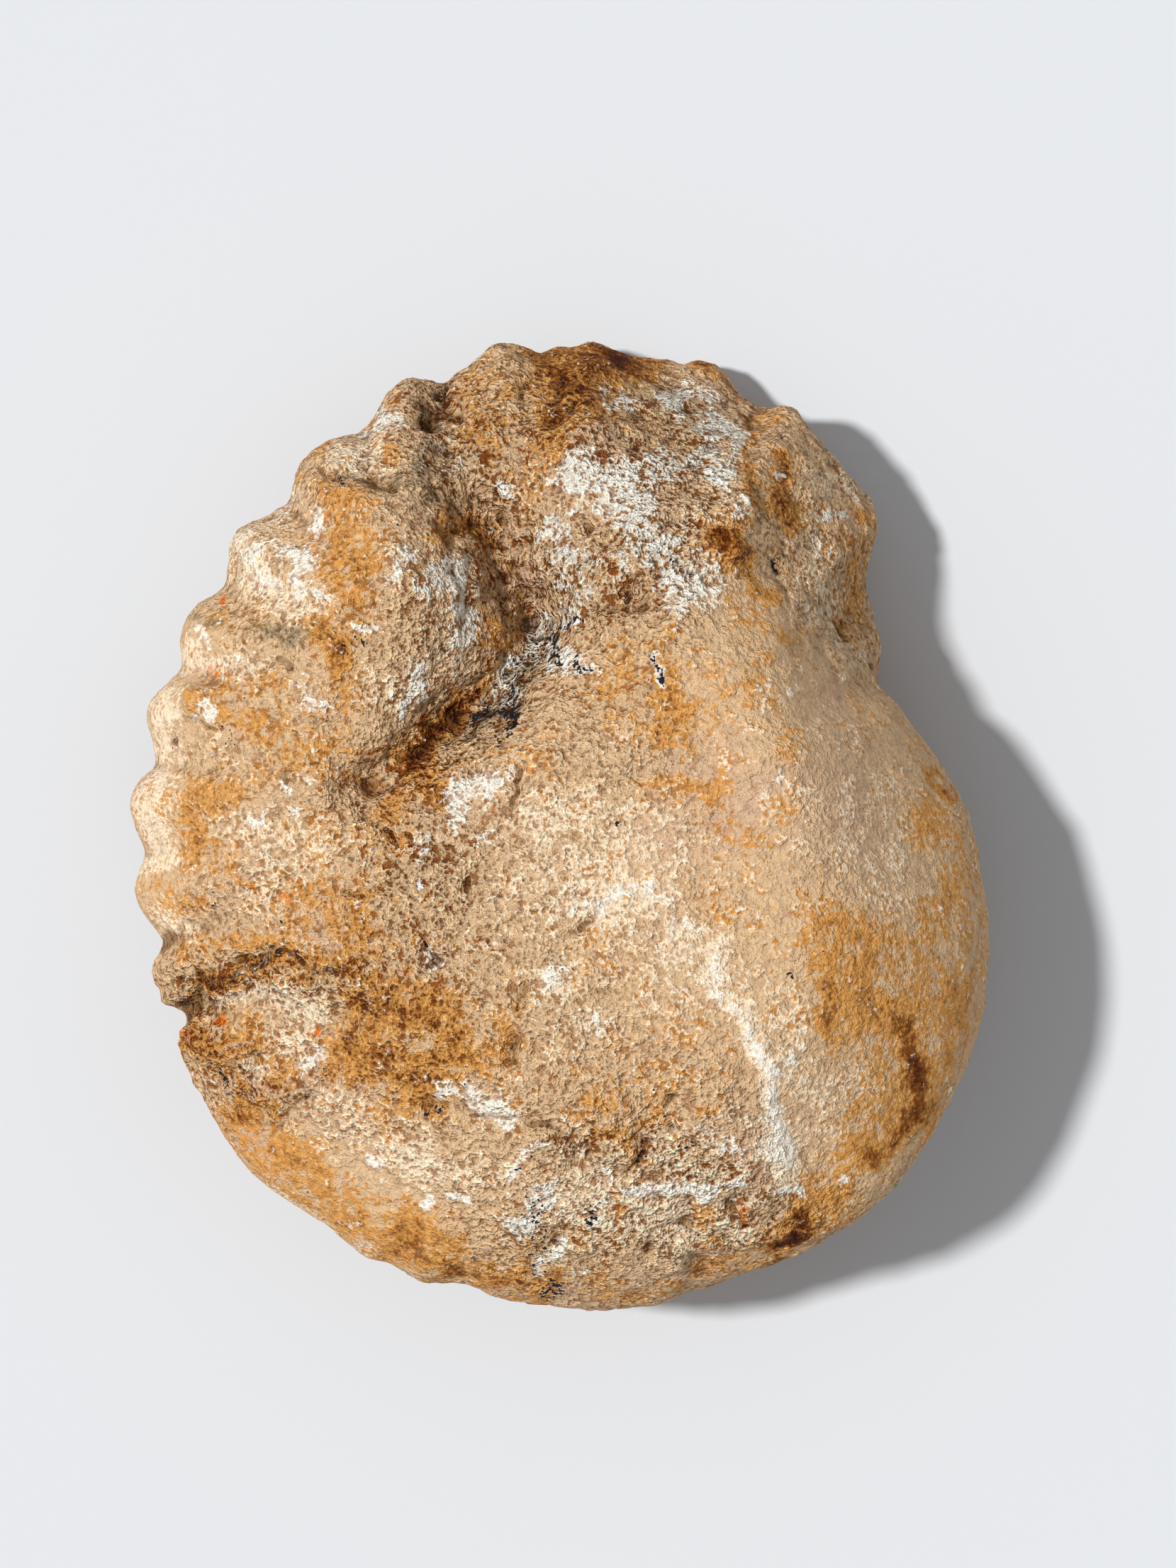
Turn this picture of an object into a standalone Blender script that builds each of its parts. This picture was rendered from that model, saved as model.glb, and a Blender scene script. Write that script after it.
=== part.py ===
"""Fossil ammonite: one weathered limestone mould of a coiled, ribbed shell, lying on its flank.

Run it with blender --background --python part.py, or from Blender's text editor.
The stone is a rounded cube whose points are moved on to the fossil: its outline in plan,
a rim that swells like a superellipse, two flanks that follow spot heights, and ribs.
Lengths in this file are millimetres; the mesh is scaled to metres at the end.
Frame: +Z up, +X and +Y as in a plan drawing, origin under the middle of the stone.
"""

import math

import bmesh
import bpy
import numpy as np

MM = 0.001
WIDTH = 79.5  # along X, over the ribs
CUBE_CUTS = 27  # each face of the cube becomes 28 by 28 cells
RIM_POWER = 2.5  # 2 is an elliptical rim, more is squarer
RIM_HEIGHT = 18.0  # typical height of a flank above or below the widest line
MIDDLE_LEVEL = 15.0  # the level, half way down, that the two flanks share at the middle
TOP_SHARE = 0.56  # share of the mesh rows that lie above the widest line
SMOOTH_WAVES = 9  # waves round the outline that the smooth inner outline keeps
FLUTE_START = 0.62  # share of the radius where the outline's scallops begin
FLUTE_FULL = 0.95

# The outline in plan, anticlockwise from the right: the smooth last whorl comes first and last.
LAST_WHORL_RIGHT = [(38.1, 0.0), (37.2, 2.0), (34.8, 6.0), (32.0, 10.0), (30.2, 12.2)]
BROKEN_WHORL = [
    (29.9, 13.4), (30.2, 15.8), (29.4, 19.0), (28.7, 22.5), (29.2, 25.0), (29.9, 27.4),
    (29.2, 29.6), (26.7, 32.5), (23.8, 36.0), (21.9, 38.2), (20.2, 38.5), (18.7, 38.7),
    (17.0, 40.0), (15.4, 42.2), (13.5, 43.2), (11.0, 42.9), (8.2, 43.3), (6.0, 43.9),
    (3.6, 45.0), (1.2, 44.5), (-1.5, 43.8),
]
RIBBED_WHORL = [
    (-3.0, 44.2), (-4.5, 44.6), (-6.2, 44.0), (-8.8, 42.1), (-10.8, 40.8), (-12.3, 41.0),
    (-14.0, 41.1), (-15.7, 40.1), (-16.9, 38.0), (-18.4, 36.0), (-20.5, 35.5), (-22.3, 34.8),
    (-23.9, 33.1), (-24.8, 31.0), (-25.4, 29.3), (-27.6, 27.9), (-29.3, 27.3), (-30.3, 25.8),
    (-30.8, 23.6), (-31.4, 21.6), (-33.3, 20.1), (-34.6, 18.6), (-35.1, 16.6), (-35.0, 14.2),
    (-36.3, 12.6), (-37.7, 11.2), (-38.2, 9.4), (-37.6, 7.0), (-37.4, 5.0), (-38.9, 3.5),
    (-39.7, 1.4), (-39.2, -0.8), (-38.4, -3.0), (-38.9, -4.7), (-39.3, -6.6), (-38.5, -8.7),
    (-36.8, -11.2), (-37.8, -13.0), (-37.9, -15.0), (-36.3, -17.2), (-34.8, -18.4),
]
LAST_WHORL_LEFT = [
    (-34.7, -20.8), (-34.1, -23.2), (-32.4, -26.2), (-30.6, -30.0), (-27.2, -33.8),
    (-22.0, -37.1), (-17.6, -40.4), (-15.4, -41.0), (-12.6, -42.7), (-8.5, -43.0),
    (-4.0, -44.6), (2.0, -45.0), (9.0, -44.6), (13.0, -42.9), (20.5, -40.1), (26.5, -36.9),
    (32.0, -32.0), (36.2, -25.5), (38.9, -18.5), (39.7, -12.0), (39.0, -4.5),
]
OUTLINE = LAST_WHORL_RIGHT + BROKEN_WHORL + RIBBED_WHORL + LAST_WHORL_LEFT

# Height of the widest line above the table: (degrees round the outline, height).
RIM_LEVELS = [
    (0, 17.0), (17, 15.5), (26, 11.0), (35, 9.0), (45, 10.0), (54, 11.5), (60, 10.5),
    (64, 7.5), (68, 5.5), (73, 4.5), (80, 4.5), (88, 6.0), (108, 9.5), (135, 12.0), (180, 13.5),
    (225, 14.5), (270, 16.5), (288, 18.5), (300, 23.0), (312, 23.0), (325, 20.0), (340, 18.0),
]

# Spot heights of the finished upper flank: (x, y, height).
TOP_SPOTS = [
    (5, -10, 37.2), (15, -13, 38.0), (25, -10, 37.2), (32, -12, 32.2), (15, 0, 37.2),
    (25, 1, 35.7), (31, -1, 29.8), (20, 10, 35.6), (26, 8, 31.2), (10, 10, 35.3),
    (9, 17, 33.0), (16, 19, 31.5), (21, 16, 30.5), (26, 14, 23.5), (0, 6, 34.0),
    (-5, 0, 33.2), (0, -20, 36.2), (10, -27, 36.0), (20, -24, 36.8), (29, -21, 33.0),
    (24, -30, 32.6), (16, -34, 32.8), (5, -36, 31.8), (-6, -35, 30.2), (-12, -8, 31.8),
    (-10, -20, 33.0), (-19, -3, 29.0), (-28, -2, 25.0), (-34, -3, 20.5), (-20, -17, 28.5),
    (-28, -11, 24.2), (-27, -20, 23.5), (-17, -26, 28.2), (-23, -29, 24.0), (-15, -35, 25.5),
    (-16, 7, 29.0), (-24, 8, 26.5), (-31, 8, 22.5), (-13, 15, 29.2), (-21, 17, 27.2),
    (-28, 17, 22.8), (-12, 21, 28.4), (-18, 25, 26.6), (-25, 24, 22.0), (-17, 31, 23.5),
    (-9, 9.6, 27.2), (-4.5, 13, 26.6), (-2, 16.5, 25.2), (-5, 7, 30.6), (0, 12, 30.2),
    (-9.5, 21, 28.0), (-3.6, 20, 23.0), (-4.6, 24, 21.6), (-7.5, 28.5, 20.6), (-10.5, 29.5, 22.6),
    (-9, 35, 18.5), (-15, 36, 17.5), (0, 38, 19.0), (-2, 31, 22.4), (5, 31, 25.2), (1.5, 24, 26.2),
    (10, 26, 29.0), (10, 37, 17.5), (14, 38.5, 11.0), (15, 34, 20.5), (15, 30, 26.0),
    (21, 30, 21.5), (19, 35, 19.0), (25, 25, 18.2), (26, 20, 18.8),
]

# Spot heights of the lower flank. Below 0 the stone is worn flat, and it rests on that.
BASE_SPOTS = [
    (4, -8, -1.0), (18, -12, -0.6), (6, -24, -0.5), (-12, -12, -0.6), (16, 5, -0.5),
    (2, 4, -0.4), (-24, -8, 1.4), (-30, 8, 3.6), (-22, 22, 4.2), (-8, 34, 3.6), (10, 36, 1.6),
    (22, 26, 3.0), (-4, 15, 7.0), (-12, 9, 3.6), (2, 25, 4.0), (13, 18, 2.0), (30, -10, 1.6),
    (24, -28, 2.0), (0, -37, 2.2), (-20, -28, 1.8),
]

# Strokes of relief on both flanks, mostly ribs: height, width and path.
RIBS = [
    (1.3, 2.6, [(-4.5, 44.6), (-6.5, 38.0), (-7.5, 31.0)]),
    (1.6, 2.6, [(-14.0, 41.0), (-14.8, 36.0), (-13.5, 31.0), (-11.0, 26.5)]),
    (2.0, 2.6, [(-23.8, 33.4), (-18.5, 31.0), (-15.5, 27.0), (-13.0, 21.0)]),
    (1.4, 2.6, [(-30.2, 26.0), (-25.0, 24.5), (-20.0, 22.0)]),
    (1.6, 2.6, [(-34.8, 17.8), (-29.5, 18.6), (-25.5, 17.6), (-21.5, 15.5)]),
    (1.4, 2.6, [(-38.0, 10.2), (-33.0, 11.0), (-28.0, 11.5), (-23.0, 10.5)]),
    (1.2, 2.6, [(-39.6, 1.2), (-34.0, 2.6), (-28.0, 3.8), (-22.0, 3.5)]),
    (1.1, 2.6, [(-39.2, -6.6), (-34.0, -5.8), (-28.0, -4.5)]),
    (1.6, 2.6, [(-38.0, -14.0), (-33.0, -12.4), (-27.0, -11.6), (-21.0, -12.0)]),
    (1.0, 2.2, [(-34.6, -21.0), (-30.5, -20.5)]),
    (0.9, 2.6, [(4.0, 44.9), (3.5, 40.0), (2.5, 35.0)]),
    (1.7, 2.6, [(13.7, 43.0), (15.2, 37.5), (15.8, 32.0), (18.0, 27.5)]),
    (1.2, 2.6, [(21.5, 38.0), (23.0, 33.0), (24.5, 29.0)]),
    (1.0, 2.6, [(29.7, 27.8), (27.0, 25.0), (25.0, 21.0)]),
]

# Strokes of relief on the upper flank only: height, width and path. Hollows are negative.
UPPER_RELIEF = [
    (-2.6, 3.0, [(-17.0, 3.5), (-12.5, 6.8), (-9.0, 9.6), (-5.5, 12.4), (-2.5, 15.5), (-2.2, 18.0)]),
    (-1.5, 3.0, [(-2.2, 18.0), (-4.2, 22.5), (-5.8, 26.0), (-8.4, 30.0), (-10.6, 35.0), (-11.2, 40.0)]),
]

STONE_COLOUR = (0.62, 0.44, 0.26, 1.0)
STONE_ROUGHNESS = 0.9


def closed_curve(points, steps=12):
    """A smooth closed line through the points: a Catmull-Rom spline with even steps on each leg."""
    p = np.array(points, float)
    before, here = np.roll(p, 1, 0)[:, None], p[:, None]
    after, beyond = np.roll(p, -1, 0)[:, None], np.roll(p, -2, 0)[:, None]
    t = (np.arange(steps) / steps)[None, :, None]
    line = 2 * here + (after - before) * t
    line = line + (2 * before - 5 * here + 4 * after - beyond) * t**2
    line = line + (3 * here - before - 3 * after + beyond) * t**3
    return (line / 2).reshape(-1, 2)


def outline_radii():
    """The outline as a radius for each angle, sharp with its scallops and smooth without them."""
    line = closed_curve(OUTLINE)
    angle = np.arctan2(line[:, 1], line[:, 0])
    even = np.linspace(-math.pi, math.pi, 720, endpoint=False)
    sharp = np.interp(even, angle, np.hypot(*line.T), period=2 * math.pi)
    waves = np.fft.rfft(sharp)
    waves[SMOOTH_WAVES + 1 :] = 0
    return even, sharp, np.fft.irfft(waves, len(even))


def rim_section(q):
    """Across a flank from its middle, q 0, to the widest line, q 1: (share of the radius, share of the
    height) of a superellipse, in even steps along its curve."""
    a = np.linspace(0, math.pi / 2, 600)
    out, up = np.sin(a) ** (2 / RIM_POWER), np.cos(a) ** (2 / RIM_POWER)
    steps = np.hypot(np.diff(out) * WIDTH / 2, np.diff(up) * RIM_HEIGHT)
    along = np.concatenate([[0], np.cumsum(steps)])
    along /= along[-1]
    return np.interp(q, along, out), np.interp(q, along, up)


def ease(x, low, high):
    """0 below low, 1 above high, and smooth between them."""
    t = np.clip((x - low) / (high - low), 0, 1)
    return t * t * (3 - 2 * t)


def plan_place(angle, share):
    """Plan position at a share of the radius: the smooth outline inside, the scalloped one at the rim."""
    even, sharp, smooth = outline_radii()
    inner = np.interp(angle, even, smooth, period=2 * math.pi)
    outer = np.interp(angle, even, sharp, period=2 * math.pi)
    radius = inner + (outer - inner) * ease(share, FLUTE_START, FLUTE_FULL)
    return share * radius * np.cos(angle), share * radius * np.sin(angle)


def mid_level(angle, share):
    """The level where the two flanks meet: the widest line's at the rim, one level at the middle."""
    degrees, levels = np.array(RIM_LEVELS, float).T
    rim = np.interp(np.degrees(angle) % 360, degrees, levels, period=360)
    return MIDDLE_LEVEL + (rim - MIDDLE_LEVEL) * share**2


def spot_surface(spots, side):
    """The smooth surface (a thin-plate spline) that brings the flank to each spot's height once the rim
    has rounded it off. side is +1 for the upper flank and -1 for the lower one."""
    x, y, height = np.array(spots, float).T
    even, _, smooth = outline_radii()
    angle = np.arctan2(y, x)
    share = np.hypot(x, y) / np.interp(angle, even, smooth, period=2 * math.pi)
    share = np.minimum(share, 0.97)
    up = (1 - share**RIM_POWER) ** (1 / RIM_POWER)
    rise = side * (height - mid_level(angle, share)) / up

    def bend(x1, y1):
        d2 = (x1[:, None] - x[None]) ** 2 + (y1[:, None] - y[None]) ** 2
        return d2 * np.log(d2 + 1e-9)

    count = len(x)
    system = np.zeros((count + 3, count + 3))
    system[:count, :count] = bend(x, y)
    system[:count, count:] = np.stack([np.ones(count), x, y], 1)
    system[count:, :count] = system[:count, count:].T
    weights = np.linalg.solve(system, np.concatenate([rise, np.zeros(3)]))

    def surface(x1, y1):
        return bend(x1, y1) @ weights[:count] + weights[count] + weights[-2] * x1 + weights[-1] * y1

    return surface


def strokes(x, y, rows):
    """The sum of strokes, each its height times a bell curve of the distance to its path of straight
    legs, as wide as its width."""
    total = np.zeros(len(x))
    for height, width, path in rows:
        nearest = np.full(len(x), np.inf)
        for (x0, y0), (x1, y1) in zip(path[:-1], path[1:]):
            leg = (x1 - x0) ** 2 + (y1 - y0) ** 2
            t = np.clip(((x - x0) * (x1 - x0) + (y - y0) * (y1 - y0)) / leg, 0, 1)
            nearest = np.minimum(nearest, np.hypot(x - x0 - t * (x1 - x0), y - y0 - t * (y1 - y0)))
        total += height * np.exp(-((nearest / width) ** 2))
    return total


def stone_points(directions):
    """Where each direction from the cube's middle meets the stone, in millimetres."""
    dx, dy, dz = directions.T
    angle = np.arctan2(dy, dx)
    tilt = np.arccos(np.clip(dz, -1, 1)) / math.pi
    upper = tilt < TOP_SHARE
    q = np.where(upper, tilt / TOP_SHARE, (1 - tilt) / (1 - TOP_SHARE))
    share, up = rim_section(q)
    x, y = plan_place(angle, share)
    ribs = strokes(x, y, RIBS)
    top = spot_surface(TOP_SPOTS, 1)(x, y) + ribs + strokes(x, y, UPPER_RELIEF)
    base = spot_surface(BASE_SPOTS, -1)(x, y) + ribs
    level = mid_level(angle, share)
    z = np.where(upper, level + top * up, np.maximum(level - base * up, 0))
    return np.stack([x, y, z], 1)


def even_directions(cube):
    """Cube points as unit directions, spread so that the cells are all about one size."""
    spread = np.tan(cube * math.pi / 4)
    return spread / np.linalg.norm(spread, axis=1)[:, None]


def limestone():
    """Matt, sandy, ochre stone."""
    material = bpy.data.materials.new("weathered_limestone")
    material.use_nodes = True
    shader = material.node_tree.nodes["Principled BSDF"]
    shader.inputs["Base Color"].default_value = STONE_COLOUR
    shader.inputs["Roughness"].default_value = STONE_ROUGHNESS
    shader.inputs["Metallic"].default_value = 0.0
    return material


def ammonite():
    """The one stone: a cube of small cells, with every point moved on to the fossil."""
    solid = bmesh.new()
    bmesh.ops.create_cube(solid, size=2)
    bmesh.ops.subdivide_edges(solid, edges=solid.edges, cuts=CUBE_CUTS, use_grid_fill=True)
    mesh = bpy.data.meshes.new("ammonite")
    solid.to_mesh(mesh)
    solid.free()
    cube = np.empty(len(mesh.vertices) * 3)
    mesh.vertices.foreach_get("co", cube)
    points = stone_points(even_directions(cube.reshape(-1, 3)))
    mesh.vertices.foreach_set("co", (points * MM).ravel())
    mesh.update()
    mesh.shade_smooth()
    mesh.materials.append(limestone())
    return bpy.data.objects.new("ammonite", mesh)


def main():
    """Clears the scene and builds the stone in a collection of its own."""
    for item in list(bpy.data.objects):
        bpy.data.objects.remove(item)
    fossil = bpy.data.collections.new("fossil_ammonite")
    bpy.context.scene.collection.children.link(fossil)
    fossil.objects.link(ammonite())


main()
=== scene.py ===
"""The looks of the fossil ammonite: one weathered limestone mould of a coiled, ribbed shell.

The stone is one closed skin worked out with numpy. Lengths here are millimetres, and the mesh is
scaled to metres at the end. Relief and stains are laid with strokes whose places were read from the
photograph at the height of the outline, so a stroke is laid where the photograph's camera sees it.
"""

import math

import bpy
import numpy as np
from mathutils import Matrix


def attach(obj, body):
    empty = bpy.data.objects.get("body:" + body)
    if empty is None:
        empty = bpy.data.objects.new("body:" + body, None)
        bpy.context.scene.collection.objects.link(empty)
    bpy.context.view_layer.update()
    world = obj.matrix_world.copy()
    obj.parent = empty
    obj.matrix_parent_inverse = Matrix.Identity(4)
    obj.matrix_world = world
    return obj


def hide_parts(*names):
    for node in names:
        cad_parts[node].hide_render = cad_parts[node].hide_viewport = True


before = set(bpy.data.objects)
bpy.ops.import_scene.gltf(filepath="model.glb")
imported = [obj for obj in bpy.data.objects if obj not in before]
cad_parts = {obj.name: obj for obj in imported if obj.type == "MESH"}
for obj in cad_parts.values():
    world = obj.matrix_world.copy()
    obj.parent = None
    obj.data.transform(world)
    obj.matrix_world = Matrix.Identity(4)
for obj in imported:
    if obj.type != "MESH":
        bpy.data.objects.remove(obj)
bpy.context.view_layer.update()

MM = 0.001

# The photograph's view: straight down, with the outline's plane at 15.24 pixels a millimetre.
PHOTO_WIDE, PHOTO_HIGH = 1659, 2212
PIXELS_PER_MM = 15.24
ORIGIN_PIXEL = (787.0, 1156.0)
CAMERA_HEIGHT = 600.0
OUTLINE_HEIGHT = 16.0
SENSOR = 36.0
CAMERA_X = (PHOTO_WIDE / 2 - ORIGIN_PIXEL[0]) / PIXELS_PER_MM
CAMERA_Y = (ORIGIN_PIXEL[1] - PHOTO_HIGH / 2) / PIXELS_PER_MM

# Light: a window-sized sun from the left and a little from behind, and pale walls all round.
SUN_ELEVATION = 60.0
SUN_BEARING = 171.0  # degrees from +X, where the light comes from
SUN_STRENGTH = 3.15
SUN_ANGLE = 5.0
ROOM_STRENGTH = 0.425

# The stone's general shape, as in the CAD model.
CELLS = 128  # each face of the cube that becomes the stone has this many cells a side
WIDTH = 79.5
RIM_POWER = 2.5  # of the flanks' superellipse: 2 is an ellipse, more is boxier
RIM_HEIGHT = 18.0  # of a flank over the widest line, for even steps along it
MIDDLE_LEVEL = 15.0  # where the two flanks would meet in the middle
TOP_SHARE = 0.62  # of the way from the top to the bottom that the upper flank takes
SMOOTH_WAVES = 9  # waves round the smooth outline; the scallops are finer
FLUTE_START = 0.62  # the scallops begin at this share of the radius
FLUTE_FULL = 0.95  # and are full here
SPOT_LIMIT = 0.97  # no spot height counts as nearer to the rim than this
OUTLINE_STEPS = 1440
RIM_STEPS = 1200
RIM_BLEND = 4.0  # the upper flank's relief fades out over this height on both sides of the rim
LEDGE_STEP = (-0.4, 0.6)  # a ledge drops between these distances to the right of its path

# The outline in plan, anticlockwise from the right: the smooth last whorl comes first and last.
LAST_WHORL_RIGHT = [(38.1, 0), (37.2, 2), (34.8, 6), (32, 10), (30.2, 12.2)]
BROKEN_WHORL = [
    (29.9, 13.4), (30.2, 15.8), (29.4, 19), (28.7, 22.5), (29.2, 25), (29.9, 27.4), (29.2, 29.6),
    (26.7, 32.5), (23.8, 36), (21.9, 38.2), (20.2, 38.5), (18.7, 38.7), (17, 40), (15.4, 42.2),
    (13.5, 43.2), (11, 42.9), (8.2, 43.3), (6, 43.9), (3.6, 45), (1.2, 44.5), (-1.5, 43.8),
]
RIBBED_WHORL = [
    (-3, 44.2), (-4.5, 44.6), (-6.2, 44), (-8.8, 42.1), (-10.8, 40.8), (-12.3, 41), (-14, 41.1),
    (-15.7, 40.1), (-16.9, 38), (-18.4, 36), (-20.5, 35.5), (-22.3, 34.8), (-23.9, 33.1), (-24.8, 31),
    (-25.4, 29.3), (-27.6, 27.9), (-29.3, 27.3), (-30.3, 25.8), (-30.8, 23.6), (-31.4, 21.6),
    (-33.3, 20.1), (-34.6, 18.6), (-35.1, 16.6), (-35, 14.2), (-36.3, 12.6), (-37.7, 11.2), (-38.2, 9.4),
    (-37.6, 7), (-37.4, 5), (-38.9, 3.5), (-39.7, 1.4), (-39.2, -0.8), (-38.4, -3), (-38.9, -4.7),
    (-39.3, -6.6), (-38.5, -8.7), (-36.8, -11.2), (-37.8, -13), (-37.9, -15), (-36.3, -17.2),
    (-34.8, -18.4),
]
LAST_WHORL_LEFT = [
    (-34.7, -20.8), (-34.1, -23.2), (-32.4, -26.2), (-30.6, -30), (-27.2, -33.8), (-22, -37.1),
    (-17.6, -40.4), (-15.4, -41), (-12.6, -42.7), (-8.5, -43), (-4, -44.6), (2, -45), (9, -44.6),
    (13, -42.9), (20.5, -40.1), (26.5, -36.9), (32, -32), (36.2, -25.5), (38.9, -18.5), (39.7, -12),
    (39, -4.5),
]
OUTLINE = LAST_WHORL_RIGHT + BROKEN_WHORL + RIBBED_WHORL + LAST_WHORL_LEFT

# Height of the widest line above the table: (degrees round the outline, height).
RIM_LEVELS = [
    (0, 17), (17, 15.5), (26, 11), (35, 9), (45, 10), (54, 11.5), (60, 10.5), (64, 7.5), (68, 5.5),
    (73, 4.5), (80, 4.5), (88, 6), (108, 9.5), (135, 12), (180, 13.5), (225, 14.5), (270, 16.5),
    (288, 18.5), (300, 23), (312, 23), (325, 20), (340, 18),
]

# Spot heights of the finished upper flank: (x, y, height).
TOP_SPOTS = [
    (5, -10, 37.2), (15, -13, 38), (25, -10, 37.2), (32, -12, 32.2), (15, 0, 37.2), (25, 1, 35.7),
    (31, -1, 29.8), (20, 10, 35.6), (26, 8, 31.2), (10, 10, 35.3), (9, 17, 33), (16, 19, 31.5),
    (21, 16, 30.5), (26, 14, 23.5), (0, 6, 34), (-5, 0, 33.2), (0, -20, 36.2), (10, -27, 36),
    (20, -24, 36.8), (29, -21, 33), (24, -30, 32.6), (16, -34, 32.8), (5, -36, 31.8), (-6, -35, 30.2),
    (-12, -8, 31.8), (-10, -20, 33), (-19, -3, 29), (-28, -2, 25), (-34, -3, 20.5), (-20, -17, 28.5),
    (-28, -11, 24.2), (-27, -20, 23.5), (-17, -26, 28.2), (-23, -29, 24), (-15, -35, 25.5), (-16, 7, 29),
    (-24, 8, 26.5), (-31, 8, 22.5), (-13, 15, 29.2), (-21, 17, 27.2), (-28, 17, 22.8), (-12, 21, 28.4),
    (-18, 25, 26.6), (-25, 24, 22), (-17, 31, 23.5), (-9, 9.6, 27.2), (-4.5, 13, 26.6), (-2, 16.5, 25.2),
    (-5, 7, 30.6), (0, 12, 30.2), (-9.5, 21, 28), (-3.6, 20, 23), (-4.6, 24, 21.6), (-7.5, 28.5, 20.6),
    (-10.5, 29.5, 22.6), (-9, 35, 18.5), (-15, 36, 17.5), (0, 38, 19), (-2, 31, 22.4), (5, 31, 25.2),
    (1.5, 24, 26.2), (10, 26, 29), (10, 37, 17.5), (14, 38.5, 11), (15, 34, 20.5), (15, 30, 26),
    (21, 30, 21.5), (19, 35, 19), (25, 25, 18.2), (26, 20, 18.8),
]

# Spot heights of the lower flank. Below 0 the stone is worn flat, and it rests on that.
BASE_SPOTS = [
    (4, -8, -1), (18, -12, -0.6), (6, -24, -0.5), (-12, -12, -0.6), (16, 5, -0.5), (2, 4, -0.4),
    (-24, -8, 1.4), (-30, 8, 3.6), (-22, 22, 4.2), (-8, 34, 3.6), (10, 36, 1.6), (22, 26, 3), (-4, 15, 7),
    (-12, 9, 3.6), (2, 25, 4), (13, 18, 2), (30, -10, 1.6), (24, -28, 2), (0, -37, 2.2), (-20, -28, 1.8),
]

# Strokes of relief on both flanks, mostly ribs: height, width and paths.
RIBS = [
    (1.3, 2.6, [(-4.5, 44.6), (-6.5, 38), (-7.5, 31)]),
    (1.6, 2.6, [(-14, 41), (-14.8, 36), (-13.5, 31), (-11, 26.5)], [(-34.8, 17.8), (-29.5, 18.6),
        (-25.5, 17.6), (-21.5, 15.5)], [(-38, -14), (-33, -12.4), (-27, -11.6), (-21, -12)]),
    (2, 2.6, [(-23.8, 33.4), (-18.5, 31), (-15.5, 27), (-13, 21)]),
    (1.4, 2.6, [(-30.2, 26), (-25, 24.5), (-20, 22)], [(-38, 10.2), (-33, 11), (-28, 11.5), (-23, 10.5)]),
    (1.2, 2.6, [(-39.6, 1.2), (-34, 2.6), (-28, 3.8), (-22, 3.5)], [(21.5, 38), (23, 33), (24.5, 29)]),
    (1.1, 2.6, [(-39.2, -6.6), (-34, -5.8), (-28, -4.5)]),
    (1, 2.2, [(-34.6, -21), (-30.5, -20.5)]),
    (0.9, 2.6, [(4, 44.9), (3.5, 40), (2.5, 35)]),
    (1.7, 2.6, [(13.7, 43), (15.2, 37.5), (15.8, 32), (18, 27.5)]),
    (1, 2.6, [(29.7, 27.8), (27, 25), (25, 21)]),
]

# Strokes of relief on the upper flank only: height, width and paths. Hollows are negative.
UPPER_RELIEF = [
    (-3.4, 2.2, [(-17, 3.5), (-12.5, 6.8), (-9, 9.6), (-5.5, 12.4), (-2.5, 15.5), (-2.2, 18)]),
    (-1.8, 2.5, [(-2.2, 18), (-4.2, 22.5), (-5.8, 26), (-8.4, 30), (-10.6, 35), (-11.2, 40)]),
]

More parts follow.
